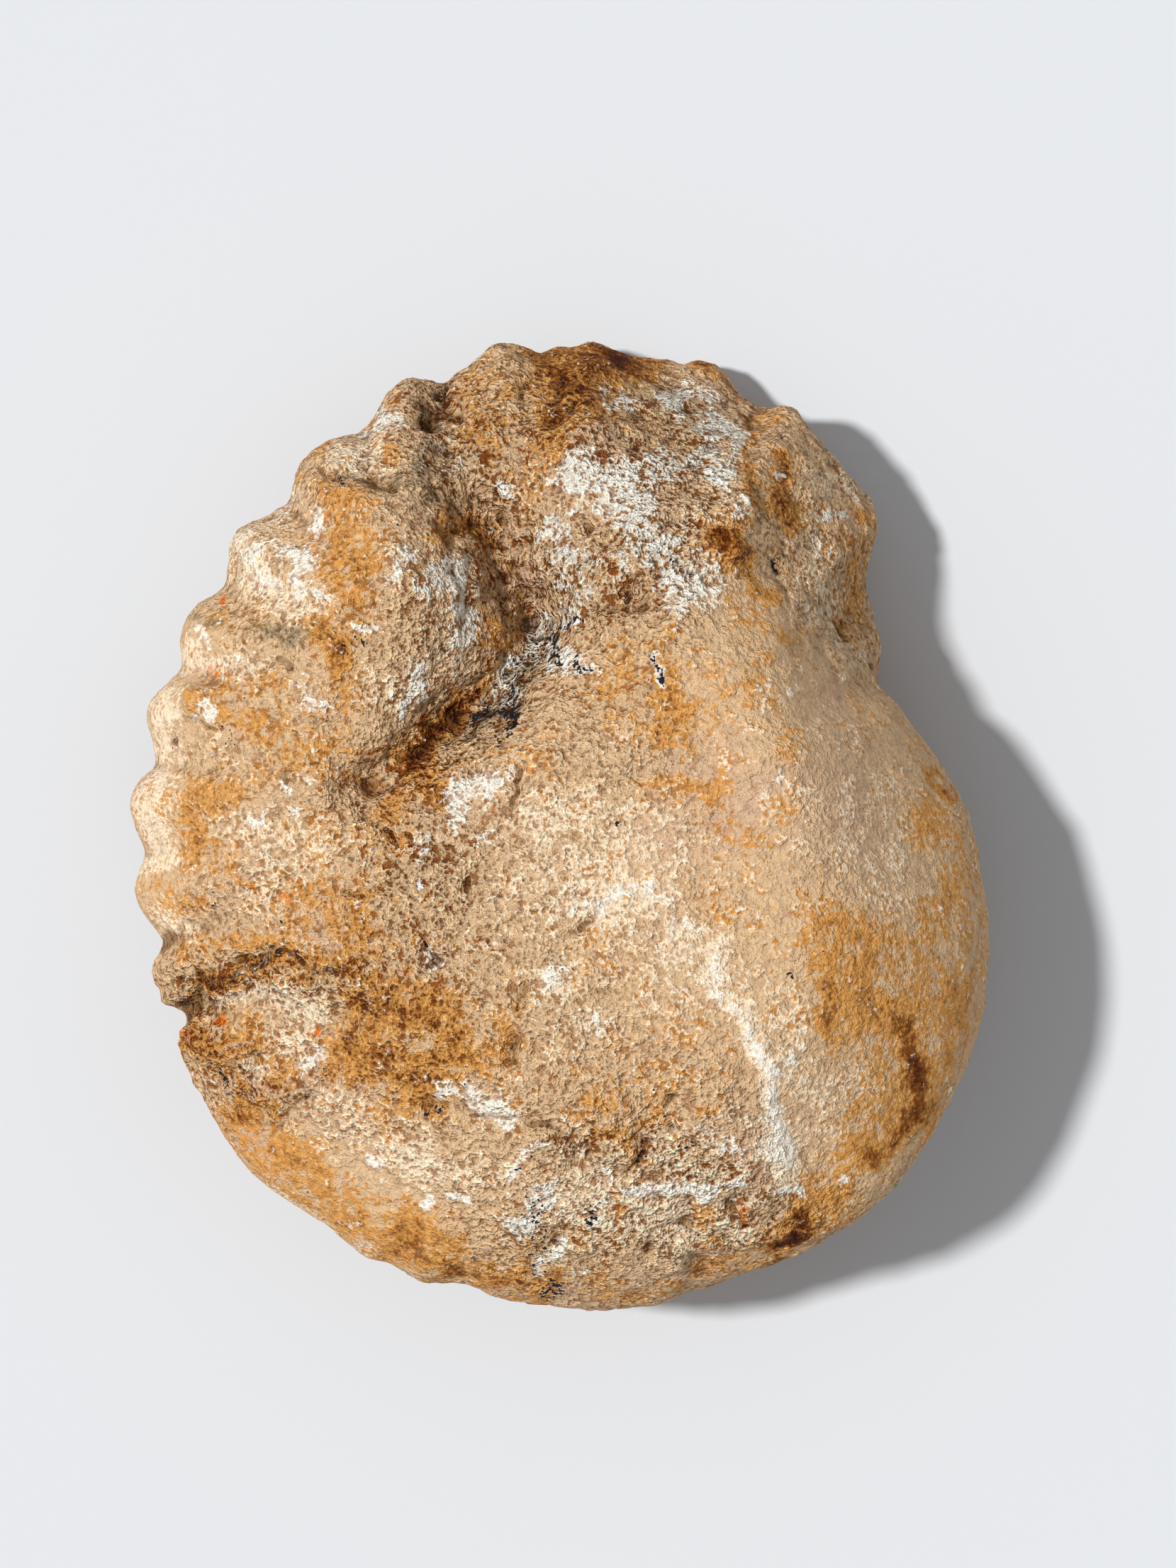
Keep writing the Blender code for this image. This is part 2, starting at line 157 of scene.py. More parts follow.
# From here on places are as the photograph shows them.
# Bumps and grooves of the upper flank: height, width and paths.
DETAIL = [
    (0.35, 0.7, [(14.6, -12.5), (15.6, -16.5), (18.5, -20.5), (19.5, -23.5)]),
    (0.4, 0.8, [(19.2, -25), (20.3, -28), (20.6, -31), (20.8, -33)]),
    (0.2, 0.5, [(20.5, -22.5), (22.3, -21.8), (22.8, -20.5)]),
    (0.15, 0.7, [(4, -8.5), (6, -7), (8.5, -6.3), (11, -8), (11.8, -9.8)]),
    (0.25, 0.5, [(5.5, -34.3), (10, -34.4), (13, -34), (17, -33.9)]),
    (-0.8, 0.7, [(-22, 32.3), (-20, 32), (-18, 32.4), (-15.5, 31.3)], [(-26, -13.5), (-23, -14.1),
        (-20.5, -14.8)]),
    (1.1, 1.5, [(-33.3, 11.4)]),
    (-0.7, 0.8, [(-34, 9), (-31.5, 8.8)]),
    (-0.7, 0.6, [(-34.2, -16), (-31, -14.7), (-28.5, -14), (-26, -13.4)], [(15.9, -34.8), (15.8, -36.4),
        (16.8, -38)], [(-8.8, 27.2), (-10.2, 25.8)], [(-21.2, -23)]),
    (-1.8, 1.1, [(-34.4, -18.2), (-33.4, -17)]),
    (1, 2, [(-33, -21.2), (-31, -20.6)]),
    (-0.35, 0.5, [(-22.8, -25.5), (-24.4, -27), (-26, -28.2)]),
    (-0.5, 0.5, [(10.5, -25.6), (9.8, -27.4), (10, -28.8)], [(5.8, 20.8), (6.2, 19.6), (8.2, 20.2),
        (10.2, 19.2)]),
    (0.5, 1.6, [(12.6, -27.6)]),
    (0.5, 1.5, [(5, -31.5)]),
    (-0.6, 0.5, [(7.9, -30), (7.7, -31.4), (7, -32.6)], [(2.6, -30), (2.6, -31.8), (4.6, -33.6)],
        [(0.4, -30), (1, -31.5), (0, -33.2)]),
    (0.5, 1.4, [(-1.4, -31.6)]),
    (-0.7, 0.7, [(-3.6, -15.5), (-3.9, -19), (-4.4, -22)]),
    (-0.4, 0.6, [(-12.6, -26.9), (-10, -27.3), (-5.4, -27.6), (-3, -28.4), (0, -29)]),
    (0.5, 1, [(17.4, -36.4)]),
    (-0.5, 0.6, [(7, -40.2), (10, -38.6), (12, -38.2)], [(-3.8, 42.4), (-3.6, 40.4)], [(-4.2, 4.6),
        (-4.6, 1), (-5.6, -1.4)], [(4.2, -8.8), (2, -10.4)]),
    (0.5, 0.9, [(10, -40.6), (14, -39.6), (19, -39)]),
    (0.8, 1.7, [(16.2, 24.9)]),
    (-0.9, 0.6, [(1.8, 27.3)]),
    (-0.5, 0.4, [(21, 22.8), (20.8, 23.9)]),
    (-0.7, 0.5, [(20.8, 35.7)]),
    (-0.25, 0.5, [(26.6, 18.8), (26.9, 17.8)]),
    (-0.3, 0.5, [(25.4, 19.8), (27.2, 16.2), (28.8, 14.2)]),
    (-0.4, 0.4, [(10.4, 23.9), (12.2, 22.9)]),
    (-1.3, 1.3, [(-11.8, 37.9)]),
    (-0.9, 0.5, [(-10.2, 39.2), (-10, 40.4)], [(-35.5, 7.4)], [(5.3, 0.2)]),
    (0.7, 1.3, [(-6, 42.6), (-4, 42)]),
    (-0.8, 0.6, [(-12.2, -11.6), (-11.8, -13.2)], [(-31, -24.2)]),
    (-0.4, 0.5, [(-18.2, -7.2), (-19.6, -6.8)], [(-26.6, -8.8), (-25.2, -8.8)], [(-9.2, -4.6),
        (-8.8, -7.4)]),
    (-0.6, 0.6, [(-17.6, 0.6), (-15.6, -1.4), (-15, -3)]),
    (0.5, 1.2, [(-21, 31), (-17.5, 30.6)]),
    (-0.5, 0.7, [(-26.4, 14.6), (-25, 14)]),
]

# Broken edges: the stone on the right of the path, as it is walked, lies lower: drop, reach and path.
LEDGES = [
    (1, 4.5, [(-18, -15.4), (-20.5, -14.6), (-23, -13.8), (-26, -13.2), (-30, -14.2), (-34.5, -15.8),
        (-39, -17)]),
    (0.35, 4, [(36, 8), (31.5, 11.8), (27.5, 15.6), (24, 18.6), (20.5, 21.4), (18, 23)]),
    (0.5, 4, [(22, 20.4), (18.5, 22.2), (14, 20.6), (10.5, 19.7), (6, 19.6), (1.5, 18.8)]),
    (0.6, 3, [(4, -29.8), (0, -29), (-3, -28.5), (-8, -27.6), (-14.5, -26.2)]),
    (0.7, 3, [(-24, 32.8), (-20, 32.6), (-16, 32.7), (-13.5, 30.8)]),
    (0.5, 2.5, [(18, 25), (18.6, 31), (17.2, 35.4), (18.4, 40.2)]),
]

# Where hands and the weather have worn the stone smooth: amount, width and paths.
WORN = [
    (0.9, 8, [(24, -1), (29, -12)]),
    (0.8, 6, [(20, 10), (29, 4)]),
    (0.8, 5.5, [(23, -20), (27, -28)]),
    (0.6, 5, [(17, 17)]),
    (0.6, 4.5, [(-26, -31), (-15, -38)]),
    (0.8, 3, [(-38.5, -8), (-38.5, 2), (-37, 9), (-34.5, 17)]),
    (0.5, 5, [(36, -5), (35, -22)]),
    (0.3, 6, [(8, -4), (12, -16)]),
    (0.15, 5, [(-27, 22), (-19, 25)]),
    (0.12, 5, [(-31, 9), (-22, 12)], [(-33, -2), (-24, -1)]),
]

# Where the stone is coarse and crumbles: amount, width and paths.
COARSE = [
    (0.6, 4, [(-11, 38), (-7, 28), (-3, 20)]),
    (0.6, 2.5, [(-14, 5), (-8, 9), (-3, 14)]),
    (0.65, 5, [(1, 37), (11, 34), (9, 24), (3, 22)]),
    (0.3, 4, [(-18, 1), (-12, -4)]),
    (0.3, 6, [(-12, -8), (-14, -18)]),
    (0.35, 2.4, [(0, -30), (8, -30), (16, -33)]),
    (0.3, 2.4, [(-3, -38), (4, -38), (14, -38), (22, -37)]),
    (0.6, 2, [(-35, -16.5), (-26, -13.8), (-18, -14.5)]),
    (0.5, 2.5, [(-33, -20), (-30, -24), (-25, -26)]),
    (0.1, 4, [(22, 26), (26, 18)]),
    (0.3, 5, [(-12, 20), (-12, 12)]),
]

# Iron stain, and a few rows of painted shade marked where they stand: amount, width and paths. The stone
# is ochre from about 0.3, brown from about 0.9 and almost black from about 1.3.
IRON_AND_SHADE = [
    # the left lobe and its ribs
    (0.58, 2.6, [(-20, 30.2), (-19.6, 25.5), (-18, 22.5), (-17.4, 19)]),
    (0.36, 1.6, [(-22, 17.6), (-19.6, 16.8), (-20, 13.6)]),
    (0.32, 1.1, [(-31, 13.4), (-27, 12.8)]),
    (0.32, 1, [(-31, 9.4), (-26, 8.2)]),
    (0.26, 1.5, [(-26, 6.2), (-20, 7)]),
    (0.38, 1.3, [(-33.4, 2.4), (-29, 1.4)]),
    (0.38, 1.2, [(-30.4, -3), (-29.4, -6)]),
    (0.45, 1.6, [(-22.5, 24), (-20.5, 22.6)]),
    (0.42, 1.6, [(-20.6, 14.6), (-19.2, 12.4)]),
    (0.35, 1.5, [(-31.5, 18.6), (-28, 19), (-26, 17.6)]),
    (0.4, 1.6, [(-22, 17.4), (-21, 15.6)]),
    (0.6, 1, [(-15.8, 34.2)]),
    (0.6, 0.8, [(-23.6, 33.6), (-21.5, 35.2)]),
    (0.45, 0.8, [(-24.4, 32), (-23.6, 30.8)]),
    (0.45, 1, [(-17.4, 37.4), (-15.4, 39.6)]),
    (0.65, 0.8, [(-33.4, 11.8), (-33, 10.2)]),
    (0.22, 2.2, [(-31, 12.6), (-27.5, 9.6)]),
    (0.18, 3, [(-27.5, 11), (-20, 8.6)]),
    (0.26, 2, [(-34.5, 2.6), (-29, 3.8), (-24, 4.4)]),
    (0.66, 1.1, [(-34.2, -0.2), (-33.4, -3.8)]),
    (0.45, 0.7, [(-35.8, -0.6), (-35.2, -1.4)]),
    (0.45, 0.6, [(-31.8, -2), (-31.6, -5)]),
    (0.46, 1.5, [(-37.6, -6.4), (-34.2, -7.6)]),
    (0.44, 2.2, [(-23.8, -7.6), (-19.5, -8.4), (-17.6, -10.4)]),
    (0.2, 5, [(-20, 2), (-22, -8)]),
    # along the crack at the left, and the stump below it
    (0.58, 1.5, [(-35, -12.6), (-30, -11.4), (-27, -11.2)]),
    (0.75, 0.9, [(-25, -12.4), (-22, -12.8), (-19, -13.4)]),
    (0.8, 0.6, [(-34, -16), (-31, -14.9), (-29, -14), (-26.2, -13.4)]),
    (0.45, 0.9, [(-33.4, -15.8), (-27, -14.6)]),
    (0.8, 0.5, [(-25, -14.2), (-22.6, -14.6), (-20.4, -14.8)]),
    (0.52, 1.6, [(-33.4, -20.8), (-30.6, -21.6)]),
    (0.3, 1.8, [(-33.4, -20.4), (-31, -23)]),
    (0.6, 1.6, [(-30.4, -19), (-28.4, -19.6)]),
    (0.8, 0.8, [(-33.6, -17.4), (-33.2, -18.8)]),
    (0.55, 1.9, [(-25.8, -23), (-26.6, -26.6)]),
    (0.5, 1.2, [(-29.2, -25.2), (-29.6, -27.6)]),
    # the large ochre patch and the lower left
    (0.88, 2.9, [(-16.6, -17.6), (-12, -17.6), (-8.6, -22), (-12, -24.6), (-16.6, -22.4),
        (-19.6, -20.8)]),
    (0.64, 2.3, [(-29.6, -28.6), (-24, -33), (-19, -36.8), (-13, -39.2)]),
    (0.35, 1, [(-25.4, -29.8), (-21.6, -32.4)]),
    (0.3, 1.6, [(-14.6, -37.2), (-8.6, -39.8)]),
    (0.9, 1.3, [(-9.4, -41.4), (-5, -42.8), (-2, -43.8)]),
    (0.45, 1.3, [(-15, -39.8), (-11, -41.4)]),
    (0.6, 1, [(-3.4, -39.4), (-3, -41.6)]),
    (0.35, 1.2, [(-17.4, -27.6), (-15.2, -29)]),
    (0.35, 1.4, [(-4.2, -16), (-4.2, -21.6)]),
    # the umbilicus and the valley above it
    (1.35, 0.9, [(-13.6, 6), (-11.8, 8), (-10.2, 9.7)]),
    (1, 0.6, [(-10.2, 9.7), (-8, 11.9)]),
    (0.55, 0.8, [(-8, 12.6), (-6.4, 14.4)]),
    (0.45, 1.6, [(-7.6, 18), (-4.8, 17)]),
    (0.6, 0.9, [(-11.4, 26.8), (-10.6, 26)]),
    (0.75, 1, [(-9.6, 28), (-8.2, 27), (-6.6, 26.6)]),
    # painted shade on the lobe's right slope, turned from the light
    (0.22, 2.4, [(-8, 26), (-5, 22.4), (-3.6, 18.6)]),
    (0.75, 1.3, [(-15, 5), (-12.2, 4.8), (-11.6, 2.6)]),
    (0.45, 1.3, [(-15.4, 1), (-14.6, -2.4)]),
    (0.16, 3.8, [(-7, 39), (-5, 34), (-1.5, 34)]),
    (0.3, 2.6, [(-3.5, 30), (-4, 25)]),
    (0.24, 3.5, [(-15, -8), (-16, -13)]),
    (0.25, 3, [(-14, 3), (-8, 8), (-3, 8)]),
    # the top edge
    (0.45, 1.6, [(-8, 37.6), (-6.4, 34.6)], [(6.5, 42.8), (8.6, 41.6)]),
    (0.25, 1.6, [(-8.6, 41.4), (-5, 40.8)]),
    (0.5, 1.2, [(-1, 41.4), (0.6, 40.8)]),
    (0.74, 2.3, [(0, 41.8), (3, 41.8), (6, 42.6)]),
    (0.75, 1.4, [(-2, 44), (2, 44.4), (8, 43.2), (15, 42.2)]),
    (0.7, 2.2, [(-0.8, 37.4), (1.2, 38.6), (3, 39.4)]),
    (0.5, 1.3, [(0, 36.6), (0.6, 33.4)]),
    (0.85, 0.7, [(11.4, 42.9), (13, 42.6), (14.4, 42.6)]),
    (0.25, 3, [(5, 36.4), (9, 35.6)]),
    # the broken whorl at the upper right
    (0.12, 5, [(24, 30), (26, 20)]),
    (0.45, 1.6, [(16.4, 39.6), (18.6, 37.6), (20.6, 38)]),
    (0.8, 0.8, [(17.7, 36), (17.8, 32.4), (18.5, 28.4)]),
    (0.75, 0.7, [(20.9, 33.8), (21, 30.6), (21.8, 27.4)]),
    (0.22, 1.6, [(19.4, 33.4), (20.2, 29)]),
    (0.95, 1.6, [(14.6, 25.8), (16.8, 24.6)]),
    (0.7, 1, [(15.6, 26.6), (17, 26.4)]),
    (0.65, 0.9, [(18, 22.4), (18.8, 20.8), (20.2, 20.2)]),
    (0.6, 0.9, [(21, 17.2), (22, 16.4)]),
    (0.5, 0.9, [(27, 29), (28.8, 28.6), (29.3, 26.6)]),
    (0.35, 1.4, [(27.6, 25), (28, 21)]),
    (0.35, 1.2, [(26.8, 19.8), (28.4, 17.4)]),
    (0.45, 0.5, [(26.4, 19), (26.8, 17.8)]),
    # the middle of the last whorl
    (0.45, 2, [(9.6, 13.4), (10.4, 10), (10.2, 7.6)]),
    (0.28, 3, [(6, 12), (11, 9)]),
    (0.22, 3.5, [(18, 17.5), (16, 12)]),
    (0.22, 4.5, [(8, 18), (4, 14)]),
    (0.32, 1.6, [(19, 13), (20.5, 9.5), (20.8, 6)]),
    (0.2, 1.6, [(28, 11), (33, 6)]),
    (0.45, 1.6, [(8.6, 3.4), (12.6, 2.8), (15.6, 3.6)]),
    (0.35, 1.2, [(13.4, 1.2), (15.4, 0.8)]),
    (0.45, 1, [(20.6, 1.4), (21.6, 0.8)]),
    (0.3, 1.6, [(15.6, -1.2), (19.6, -1.6)]),
    (0.35, 1.5, [(12.4, -6.6), (14.4, -9)], [(-1.8, 4.6), (0.2, 4)]),
    (0.28, 1.6, [(3, -11.6), (3.6, -13.2)]),
    (0.16, 4.5, [(4, -23), (12, -23)]),
    (0.42, 1.8, [(3.6, -26.4), (8, -27.6)]),
    (0.5, 1.2, [(4, -29.6), (6.4, -30), (7.2, -32)]),
    (0.55, 0.6, [(12.6, -26.6), (14, -26.4)]),
    # its right side
    (0.14, 3.5, [(21.5, -6), (21.5, -15)]),
    (0.1, 4.5, [(27, -10), (30, -19), (29, -27)]),
    (0.55, 1.6, [(24.6, -9.4), (27, -9.6), (29, -12)]),
    (0.58, 2.3, [(25.5, -13), (28.5, -15.6), (30, -17)]),
    (0.65, 1, [(24.6, -15.6), (25.2, -17.4), (25, -20)]),
    (0.35, 2.6, [(27, -19), (30, -21)]),
    (0.35, 2.2, [(31.6, -10.6), (33.6, -16)], [(32.6, -20), (34, -25), (33.2, -28.6)], [(33, -24),
        (30, -29.5), (25, -34)]),
    (0.65, 1.3, [(33.6, 0.4), (34, -2.2)]),
    (0.45, 1, [(35.4, 0.8), (36.2, -1.6)]),
    (0.85, 0.45, [(34.6, 4.4), (35.4, 2.8), (36.6, 1.6)]),
    (0.65, 1.1, [(36.4, -5.6), (34.8, -7.4)]),
    (0.5, 1.3, [(34.6, -9.6), (35.4, -11.4)]),
    (0.45, 1.3, [(36, -14.6), (37, -18), (36, -22)]),
    (0.26, 2, [(38, -4), (38.6, -12), (37, -22)]),
    # brown stain and painted shade along the groove on the rim's side turned from the light
    (0.62, 1.1, [(32.2, -19.6), (32.9, -22.6), (33.4, -25), (33, -28.2)]),
    (0.55, 0.8, [(31.4, -29.4), (28.8, -31.4)]),
    (0.32, 1.6, [(30.6, -27.6), (27.4, -30.2)]),
    (0.35, 0.8, [(28.6, -25.6), (26.4, -28)]),
    # the bottom edge
    (0.7, 0.8, [(22.4, -36.2), (23.6, -36.8), (21.8, -38.6)]),
    (0.5, 2, [(26, -35), (20.5, -38.6)]),
    (0.75, 0.7, [(20.2, -39.6), (21.6, -39)]),
    (0.55, 0.9, [(10.4, -43), (13.6, -41.8), (17.6, -41), (21, -39.6)]),
    (0.5, 1.2, [(12.6, -35.6), (13.8, -37.6), (14.4, -38.8)]),
    (0.35, 1.2, [(5.8, -36), (7.4, -37.6)]),
    (0.65, 0.7, [(16.4, -36.6), (17.6, -37.4)]),
    (0.35, 1.5, [(3.4, -42.6), (8, -43.6)]),
    (0.55, 0.8, [(0.8, -41.2), (-0.2, -43)]),
    (0.3, 1.4, [(2, -38.6), (4.6, -38.2)]),
]

# Chalky white crust: amount, width and paths.
CHALK = [
    # broad, thin crusts
    (0.36, 2.4, [(2.6, 32.4), (2.6, 29.4), (5, 28.8)]),
    (0.34, 2.6, [(6, 30.6), (9, 32)]),
    (0.34, 2.8, [(7, 27), (11, 24), (13, 21.5)]),
    (0.4, 2, [(1, 23), (2, 20)]),
    (0.45, 1.5, [(-0.5, 27), (0.8, 25.5)]),
    (0.6, 1.5, [(-8.8, 3), (-6.4, 4.6)]),
    (0.28, 1.8, [(-9.4, 2.4), (-9, 0), (-6, -1.5)]),
    (0.25, 1.8, [(-10.5, 23), (-8.6, 20), (-9.4, 15)]),
    (0.3, 1.6, [(-7, 8.6), (-3.6, 13)]),
    (0.2, 1.6, [(-14, 13.4), (-13, 11)]),
    # thicker spots and veins
    (0.85, 0.8, [(-22, 28.4), (-22, 26.6)]),
    (0.9, 1, [(-25.6, 25.2), (-23.8, 24.4), (-24.4, 22.4)]),
    (0.5, 1.4, [(-28.4, 25.4), (-27, 22.6)]),
    (0.75, 0.9, [(-13.8, 24.8), (-14.4, 22.8)], [(-11.6, -25.6), (-8.6, -25.2), (-6, -26.6), (-5, -28)]),
    (0.8, 1, [(-9.4, 22.4), (-8.4, 18.6), (-9.2, 16.8)]),
    (0.55, 1.2, [(-11.4, 23.4), (-12.4, 20.4)]),
    (0.65, 1.3, [(-13.6, 14.4), (-13.4, 11.4)]),
    (0.65, 0.5, [(-14, 10.4), (-14.4, 8.6)], [(26.8, 31.6)], [(26.4, -33.2)], [(15.8, -35.2),
        (16.2, -36.8)]),
    (0.7, 0.7, [(-23.6, 21), (-20.6, 21.2)], [(-5.2, 30.8), (-4, 29.2)]),
    (0.85, 0.6, [(-19, 17.6), (-16.8, 17.4)], [(-33.4, 8.9), (-32, 9.6)], [(25.4, 27.8)], [(10.7, 19.4)],
        [(-24.6, 3.2), (-24.3, 0.6)], [(-28.8, 0.2), (-26, 0.6)]),
    (0.65, 0.7, [(-33.2, 17.8), (-32.6, 15.8)]),
    (0.95, 0.7, [(-16.4, 37.8), (-14.6, 37.2)]),
    (0.6, 0.8, [(-16.4, 36.4), (-18, 35.8)]),
    (0.8, 0.6, [(-35.1, 7)]),
    (0.45, 1.1, [(-8.6, 33), (-10.4, 35)]),
    (0.55, 0.6, [(-17.4, 9), (-15.8, 8.4)], [(-30.6, 15), (-28.8, 15.6)], [(6, -41.4), (7.4, -42.2)]),
    (0.42, 1.2, [(-24.4, 12.4), (-22.4, 10.4)]),
    (0.35, 1.2, [(-1.6, 27.4), (0.6, 24.4)]),
    (1, 1.1, [(-1.8, 17.2), (-2.2, 14.8), (-5.2, 13.2)]),
    (0.55, 0.8, [(-4.6, 13), (-7.2, 10.6)]),
    (0.6, 1.1, [(2.6, 32.8), (1.2, 31.2), (4, 30.6), (3.6, 28.8)]),
    (0.45, 0.9, [(6, 31.2), (8, 30.2)], [(-7.4, 4.4), (-5.6, 3.4)], [(-0.8, -14.6), (0.6, -13.4)]),
    (0.8, 0.9, [(10, 38.6), (12.2, 40.2), (11, 37.4)]),
    (0.75, 1.1, [(14, 36.2), (13.4, 33.6), (15.2, 31.2), (16.4, 33.2), (16.6, 35.8)]),
    (0.6, 0.9, [(14.2, 38.6), (15.2, 36.4)]),
    (0.6, 1, [(4.6, 38.8), (7.4, 38.4)]),
    (0.45, 1.4, [(9, 33.4), (12, 31.4)], [(6.4, 27.4), (9.4, 26.4)]),
    (0.6, 0.7, [(16.8, 29.4), (18.8, 28.4)]),
    (0.65, 0.6, [(24, 26.2), (24, 24.4)], [(3.2, -36), (3.2, -37.2)]),
    (0.45, 1.8, [(8, 24.4), (12, 22), (13.4, 20.6)]),
    (0.7, 0.8, [(-0.4, 18), (2, 18.2)]),
    (1, 0.9, [(-0.4, 15.6), (2.8, 14.4)], [(0.4, -39.4), (-1.4, -41.8)]),
    (0.85, 0.7, [(9, 14.4), (9.3, 13)]),
    (0.45, 0.8, [(20, 13), (19, 10.4)]),
    (0.45, 0.7, [(22, 12), (21, 9.4)], [(12.4, -4.4), (14.4, -5.2)]),
    (0.6, 0.6, [(-23.4, 4.2), (-22.4, 3.6)], [(4.2, -31.6), (5, -33.4)], [(13.5, -27.7)]),
    (0.4, 0.8, [(-9.6, 3), (-9.4, 0.4)]),
    (0.5, 0.9, [(-12.6, -2), (-12.4, -5.4)]),
    (0.95, 0.5, [(-12, -12.2), (-11.7, -13.8)]),
    (0.6, 0.5, [(-18.4, -8.2)]),
    (1, 0.8, [(-7.9, -26.7)]),
    (0.65, 0.9, [(-23.4, -22.4), (-22.2, -21.4)]),
    (0.75, 0.8, [(-12.6, -36.2), (-10.4, -35), (-8.8, -35.2)]),
    (0.5, 0.8, [(-17.8, -31.2), (-16.4, -33.8)], [(20.2, -23), (22, -22.2), (22.8, -20.4)], [(1, -18),
        (3.6, -18.6), (3, -21.2)]),
    (0.75, 0.5, [(-1.4, -30.4), (-3.6, -31.6), (-3.8, -33.2)]),
    (1.5, 1.1, [(-1.2, -35), (-2.4, -37.4), (-3.6, -37.8)]),
    (0.72, 0.65, [(14.4, -12.8), (15.6, -16), (17.6, -19.8), (19.4, -23.4)]),
    (0.95, 1.15, [(19.3, -25.2), (20, -28), (20.9, -30.8)]),
    (0.7, 0.6, [(4, -8.5), (6, -7), (8.5, -6.3), (11, -8), (11.8, -9.8)]),
    (0.42, 0.5, [(6, -10.8), (10, -11.4)]),
    (0.42, 1, [(2.4, -7.4), (0.8, -9)]),
    (1.3, 0.55, [(6.5, -34.3), (10, -34.4), (13, -34), (16.8, -33.9)]),
    (0.9, 0.5, [(20.8, -35.1), (23.6, -34.5)]),
    (0.65, 0.4, [(20.5, 5.2), (20.6, 3.4)]),
    (0.38, 1.1, [(27.6, 2.4)]),
    (0.5, 0.7, [(1.4, -41.2), (2.8, -41.8)]),
    (0.45, 1.2, [(16, -29.2), (17.4, -29.8)]),
]

# Olive-grey grime, and painted shade on slopes turned from the light: amount, width and paths.
GRIME_AND_SHADE = [
    (0.7, 1.7, [(-7.8, 7.8), (-5.2, 10.6), (-2, 14.8)]),
    (0.15, 5, [(-30, 13), (-29, 2), (-27, -8)]),
    (0.22, 2, [(-13, 34), (-12, 29.5)]),
    (0.28, 3, [(-7, 42), (-6, 36), (-5, 31)]),
    # painted shade on the lobe's right slope, turned from the light
    (0.22, 2.4, [(-9, 27), (-5, 22), (-3.6, 18)]),
    (0.35, 1.6, [(-30, 18.6), (-24.6, 17.2)]),
    (0.35, 1.3, [(-27, 17.6), (-23, 16.6)]),
    (0.95, 1.1, [(-12.4, 38.4), (-11.2, 37.4)]),
    (0.3, 2.2, [(-13.4, 29.4), (-10.4, 31.6)]),
    (0.25, 1.8, [(-12.6, 35), (-13.6, 32.4)]),
    (0.5, 1.2, [(-11, 17.4), (-11.8, 15.6)]),
    (0.75, 0.7, [(-18.4, 32.4), (-15.4, 31.4)]),
    (0.6, 0.7, [(-34, 19.2), (-32, 18)], [(-32, -16.8), (-30, -16.4)]),
    # painted shade on the lobe's right slope, turned from the light
    (0.25, 1.5, [(-6.6, 27.4), (-3.6, 23.4)]),
    (0.45, 1.5, [(-1, 21.4), (0.6, 19)]),
    # painted shade on the slope under the dome's edge, turned from the light
    (0.15, 0.9, [(22, 20.6), (25, 18), (29.4, 12.6)]),
    (0.35, 0.6, [(-33, -15.2), (-28, -14.1)], [(8, -35), (12, -35.2)]),
    (0.65, 0.7, [(-27.6, -12.6)]),
    (0.85, 0.8, [(-34.2, -18.2), (-33.2, -17)]),
    (0.35, 0.9, [(-13, -40), (-11.4, -39.8)]),
    (0.4, 0.7, [(7.4, -40.2), (12.2, -39.6)]),
    (0.45, 0.8, [(13.6, -34.8), (15.4, -36)]),
    (0.5, 0.8, [(19.6, -35.2), (20.4, -37)], [(-28, -21.4)]),
    (0.4, 0.8, [(17, -39.6), (14, -40.4)]),
    (0.4, 0.9, [(-5.8, -13.4)]),
    (0.5, 0.9, [(-22.6, -22.6)]),
    (0.6, 0.6, [(-24.4, 4.6), (-25, 4.2)]),
]

